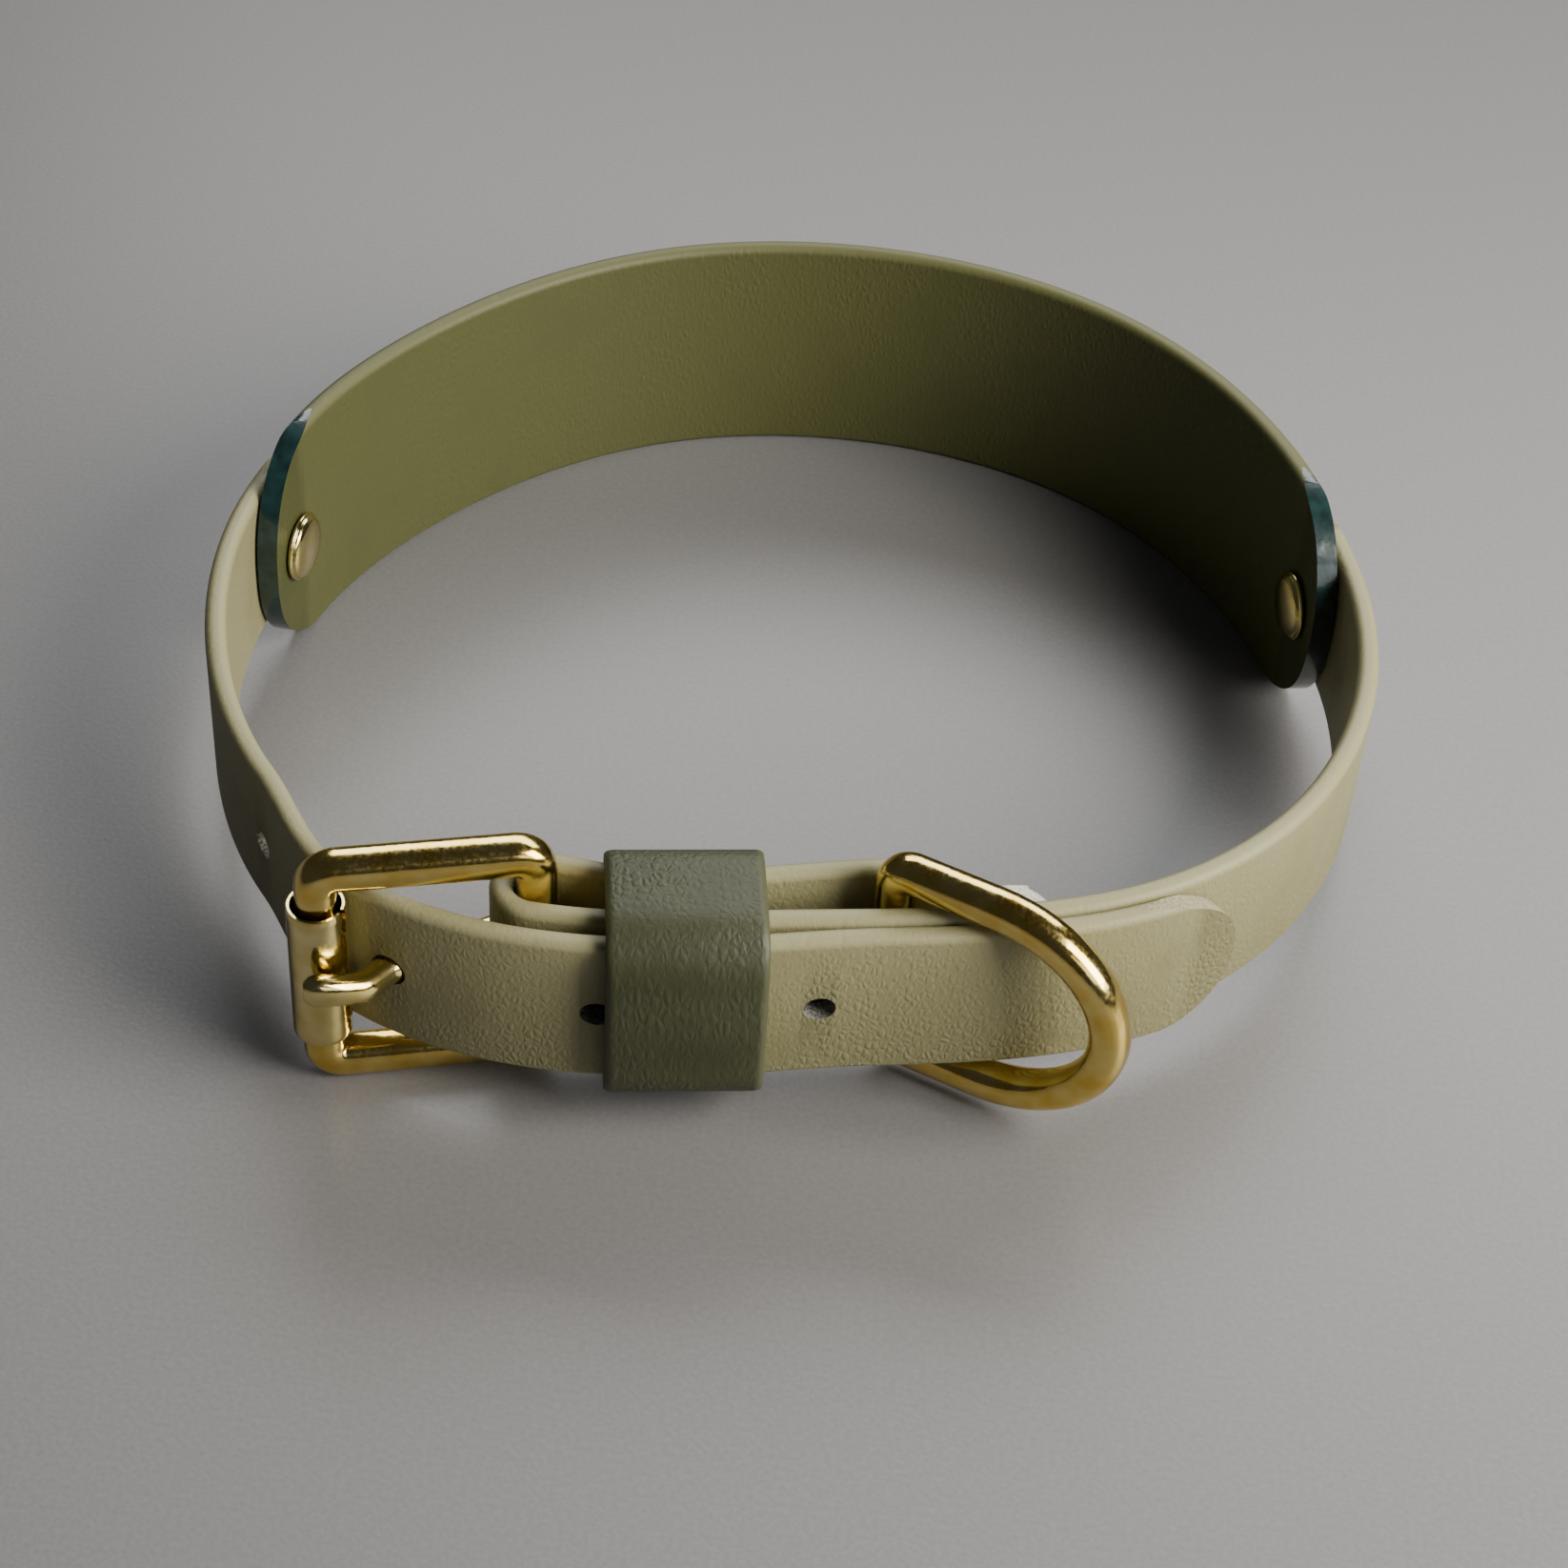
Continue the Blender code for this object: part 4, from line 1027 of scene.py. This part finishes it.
def rolled_sleeve():
    bm = bmesh.new()
    outside, inside = ROLLER_RADIUS, ROLLER_RADIUS - ROLLER_WALL
    heights = np.linspace(-ROLLER_HALF, ROLLER_HALF, SLEEVE_ROWS)
    nick = [[rng.uniform(-1, 1) for _ in heights] for _ in (0, 1)]
    rows = []
    for k, z in enumerate(heights):
        soft = SLEEVE_LIP if k in (0, len(heights) - 1) else 0.0
        ring = []
        for radius in (outside - soft, inside + soft):
            turns = np.linspace(SEAM_HALF, 2 * pi - SEAM_HALF, SLEEVE_STEPS)
            if radius < (outside + inside) / 2:
                turns = turns[::-1]
            for turn in turns:
                rough = 0.0
                if turn == turns.min():
                    rough = nick[0][k] * SEAM_NICK / radius
                if turn == turns.max():
                    rough = nick[1][k] * SEAM_NICK / radius
                angle = turn + rough + SEAM_FACES
                spot = roller + radius * (frame_run * cos(angle)
                                          + frame_out * sin(angle))
                ring.append(bm.verts.new(in_place([(*spot, FRONT_MIDDLE + z)])[0]))
        rows.append(ring)
    count = len(rows[0])
    for lower, upper in zip(rows, rows[1:]):
        for j in range(count):
            k = (j + 1) % count
            bm.faces.new((lower[j], lower[k], upper[k], upper[j]))
    for ring in (rows[0], rows[-1]):
        for j in range(SLEEVE_STEPS - 1):
            bm.faces.new((ring[j], ring[j + 1], ring[count - 2 - j], ring[count - 1 - j]))
    return piece_from("rolled_sleeve", bm, [pale_gold])


sleeve = rolled_sleeve()
tidy_normals(sleeve.data)
register(sleeve, "roller", "buckle_roller")

# %% [markdown]
# ## The prong
# The same wire all the way, pressed flatter and a little wider at the tip that lies on the roller.

# %% Prong
TIP_STEPS = 14
TIP_WIDER, TIP_FLATTER = 0.22, 0.16
TIP_ROUNDING = {0: 0.55, 1: 0.82, 2: 0.95}
EYE_ROUNDING = {0: 0.6, 1: 0.85}
prong_points = prong_path(33, 60)


def prong_section(i):
    left = len(prong_points) - 1 - i
    tip = held((TIP_STEPS - left) / TIP_STEPS)
    size = PRONG_WIRE / 2 * TIP_ROUNDING.get(left, 1.0) * EYE_ROUNDING.get(i, 1.0)
    return oval(size * (1.0 + TIP_WIDER * tip), size * (1.0 - TIP_FLATTER * tip), 2.2, 28)


prong = sweep("bent_prong", prong_points, UP, prong_section, False, [pale_gold])
register(prong, "collar", "buckle_prong")


# %% [markdown]
# ## The D-ring
# A cast ring with a straight bar and a bow. It lies as flat as the free end of the strap lets it,
# so the lean is found by trying, as on the real collar.

# %% D-ring
LEAN_MOST = radians(80.0)
LEAN_STEP = radians(0.5)


def dee_outline(bow_steps, corner_steps):
    half = (DEE_HEIGHT - DEE_WIRE) / 2
    bow = DEE_REACH - DEE_ARM
    corner = DEE_CORNER - DEE_WIRE / 4
    points = []
    for a in np.linspace(-pi / 2, pi / 2, bow_steps):
        points.append((DEE_ARM + bow * cos(a), half * sin(a)))
    for side, start in ((1, pi / 2), (-1, pi)):
        for a in np.linspace(start, start + pi / 2, corner_steps):
            points.append((corner + corner * cos(a),
                           side * (half - corner) + corner * sin(a)))
    return np.array(points)


def dee_lean(run, out):
    """The least lean at which the ring's wire clears the free end of the long strap."""
    radius = DEE_WIRE / 2
    for lean in np.arange(0, LEAN_MOST, LEAN_STEP):
        aim = run * cos(lean) + out * sin(lean)
        clear = True
        for reach, height in dee_outline(21, 6):
            place = dee_bar + aim * reach
            s = outer_ring.nearest(place)
            level = abs(height) - STRAP_WIDTH / 2
            above = (place - outer_ring.point(s)) @ outer_ring.outward(s) - STRAP_THICKNESS / 2
            touches = (hypot(max(level, 0), max(above, 0)) < radius + GAP
                       or (above < 0 and level < radius + GAP))
            if reach > radius and touches:
                clear = False
        if clear:
            break
    return lean


dee_run, dee_out = loop.tangent(dee_at), loop.outward(dee_at)
lean = dee_lean(dee_run, dee_out)
dee_aim = dee_run * cos(lean) + dee_out * sin(lean)
dee_points = dense(dee_outline(61, 12), OUTLINE_STEP)
dee_ring = sweep("cast_dee_ring", upright(dee_bar, dee_aim, dee_points),
                 (dee_aim[1], -dee_aim[0], 0.0),
                 lambda i: oval(DEE_WIRE / 2, DEE_WIRE / 2, 2.3, 36), True, [gold])
register(dee_ring, "dee", "dee_ring")
print("ring leans", round(degrees(lean), 1), "degrees off the strap")


# %% [markdown]
# ## Rivets
# Two-part tubular rivets: a thin domed cap on each side of the webbing, and a post through it.
# Each is a turned profile. The small rivet in the fold is nearly hidden, so its CAD solid stays
# and only takes the plating.

# %% Rivets
RIVET_SIDES = 56
CAP_FOOT = 0.4 * MM
DOME_SHARE = 0.93
DOME_FULLNESS = 0.8
DOME_END = pi / 2 * 0.98


def turned(name, profile, matrix, finish):
    bm = bmesh.new()
    rows = []
    for radius, z in profile:
        if radius == 0:
            rows.append([bm.verts.new((0, 0, z))])
        else:
            rows.append([bm.verts.new((radius * cos(t), radius * sin(t), z))
                         for t in np.linspace(0, 2 * pi, RIVET_SIDES, endpoint=False)])
    for first, second in zip(rows, rows[1:]):
        for j in range(RIVET_SIDES):
            k = (j + 1) % RIVET_SIDES
            corners = list(dict.fromkeys((first[j % len(first)], first[k % len(first)],
                                          second[k % len(second)], second[j % len(second)])))
            if len(corners) > 2:
                bm.faces.new(corners)
    bmesh.ops.transform(bm, matrix=matrix, verts=bm.verts)
    piece = piece_from(name, bm, [finish])
    tidy_normals(piece.data)
    return piece


def cap(radius, rise, foot):
    """A domed cap from its middle out to its rolled rim: radius and height."""
    lip = foot * 0.5
    dome = [(radius * DOME_SHARE * sin(a), foot + (rise - foot) * cos(a) ** DOME_FULLNESS)
            for a in np.linspace(0, DOME_END, 12)]
    rim = [(radius - lip + lip * cos(a), lip + lip * sin(a))
           for a in np.linspace(pi / 2, -pi / 2, 8)]
    return dome + rim


rivet_cap, post = cap(RIVET_CAP / 2, RIVET_DOME, CAP_FOOT), RIVET_POST / 2
grip_low = -(PANEL_INSET + PANEL_THICKNESS / 2 + GAP)
grip_high = STRAP_THICKNESS / 2 + GAP
rivet_profile = ([(r, grip_high + z) for r, z in rivet_cap] + [(post, grip_high), (post, grip_low)]
                 + [(r, grip_low - z) for r, z in rivet_cap][::-1])
for side, at in RIVETS:
    piece = turned(side + "_rivet_caps", rivet_profile,
                   stood_on(loop.point(at), loop.outward(at), PANEL_MIDDLE), pale_gold)
    register(piece, "collar", side + "_rivet")
for slot in frame["nodes"]["fold_rivet"].material_slots:
    slot.material = pale_gold

# %% [markdown]
# ## Floor, light and camera
# A plain pale floor and three soft lights: a low one at the right that shapes the webbing, a wide
# one above and behind, and a weak one from the front right. The camera stands where the photograph
# was taken: about 31 cm off, looking down at 42 degrees, with a roll of 4 degrees. The lens angle
# comes from the same solution.

# %% Floor
FLOOR_REACH = 4.0
floor_mesh = bpy.data.meshes.new("floor")
floor_mesh.from_pydata([(x * FLOOR_REACH, y * FLOOR_REACH, 0)
                        for x, y in ((-1, -1), (1, -1), (1, 1), (-1, 1))], [], [(0, 1, 2, 3)])
floor_mesh.materials.append(mottled("matt grey laminate", 0.38, 0.5 * MM, 3.0,
                                    [(0.3, "#7A7979"), (0.7, "#828181")], 0.3, 0.05 * MM))
floor = bpy.data.objects.new("floor", floor_mesh)
bpy.context.scene.collection.objects.link(floor)


# %% Lights
def softbox(name, place, aim, size, watts, tint="#FFFFFF"):
    light = bpy.data.lights.new(name, "AREA")
    light.shape = "RECTANGLE"
    light.size, light.size_y = size
    light.energy = watts
    light.color = colour(tint)[:3]
    holder = bpy.data.objects.new(name, light)
    holder.location = place
    holder.rotation_euler = (Vector(aim) - Vector(place)).to_track_quat("-Z", "Y").to_euler()
    bpy.context.scene.collection.objects.link(holder)


COLLAR_MIDDLE = (0, 0, 0.01)
world = bpy.data.worlds.new("studio")
world.use_nodes = True
backdrop = world.node_tree.nodes["Background"].inputs
backdrop["Color"].default_value = colour("#8C8E94")
backdrop["Strength"].default_value = 0.15
bpy.context.scene.world = world
softbox("window", (0.36, -0.16, 0.27), COLLAR_MIDDLE, (0.3, 0.3), 4.4, "#FFFAF2")
softbox("ceiling", (0.15, 0.60, 0.55), COLLAR_MIDDLE, (0.9, 0.35), 5.5)
softbox("front fill", (0.50, -0.65, 0.40), COLLAR_MIDDLE, (0.5, 0.3), 0.9)

# %% Camera
CAMERA_PLACE = (0.00009, -0.2376, 0.20726)
CAMERA_PITCH = radians(41.86)
CAMERA_ROLL = radians(4.0)
FOCAL_PIXELS = 3297.0
FRAME_PIXELS = 1646.0
SENSOR = 36.0
lens = bpy.data.cameras.new("camera")
lens.sensor_width = SENSOR
lens.lens = SENSOR * FOCAL_PIXELS / FRAME_PIXELS
lens.clip_start = 0.01
camera = bpy.data.objects.new("camera", lens)
camera.matrix_world = (Matrix.Translation(CAMERA_PLACE)
                       @ Matrix.Rotation(pi / 2 - CAMERA_PITCH, 4, "X")
                       @ Matrix.Rotation(CAMERA_ROLL, 4, "Z"))
bpy.context.scene.collection.objects.link(camera)
bpy.context.scene.camera = camera
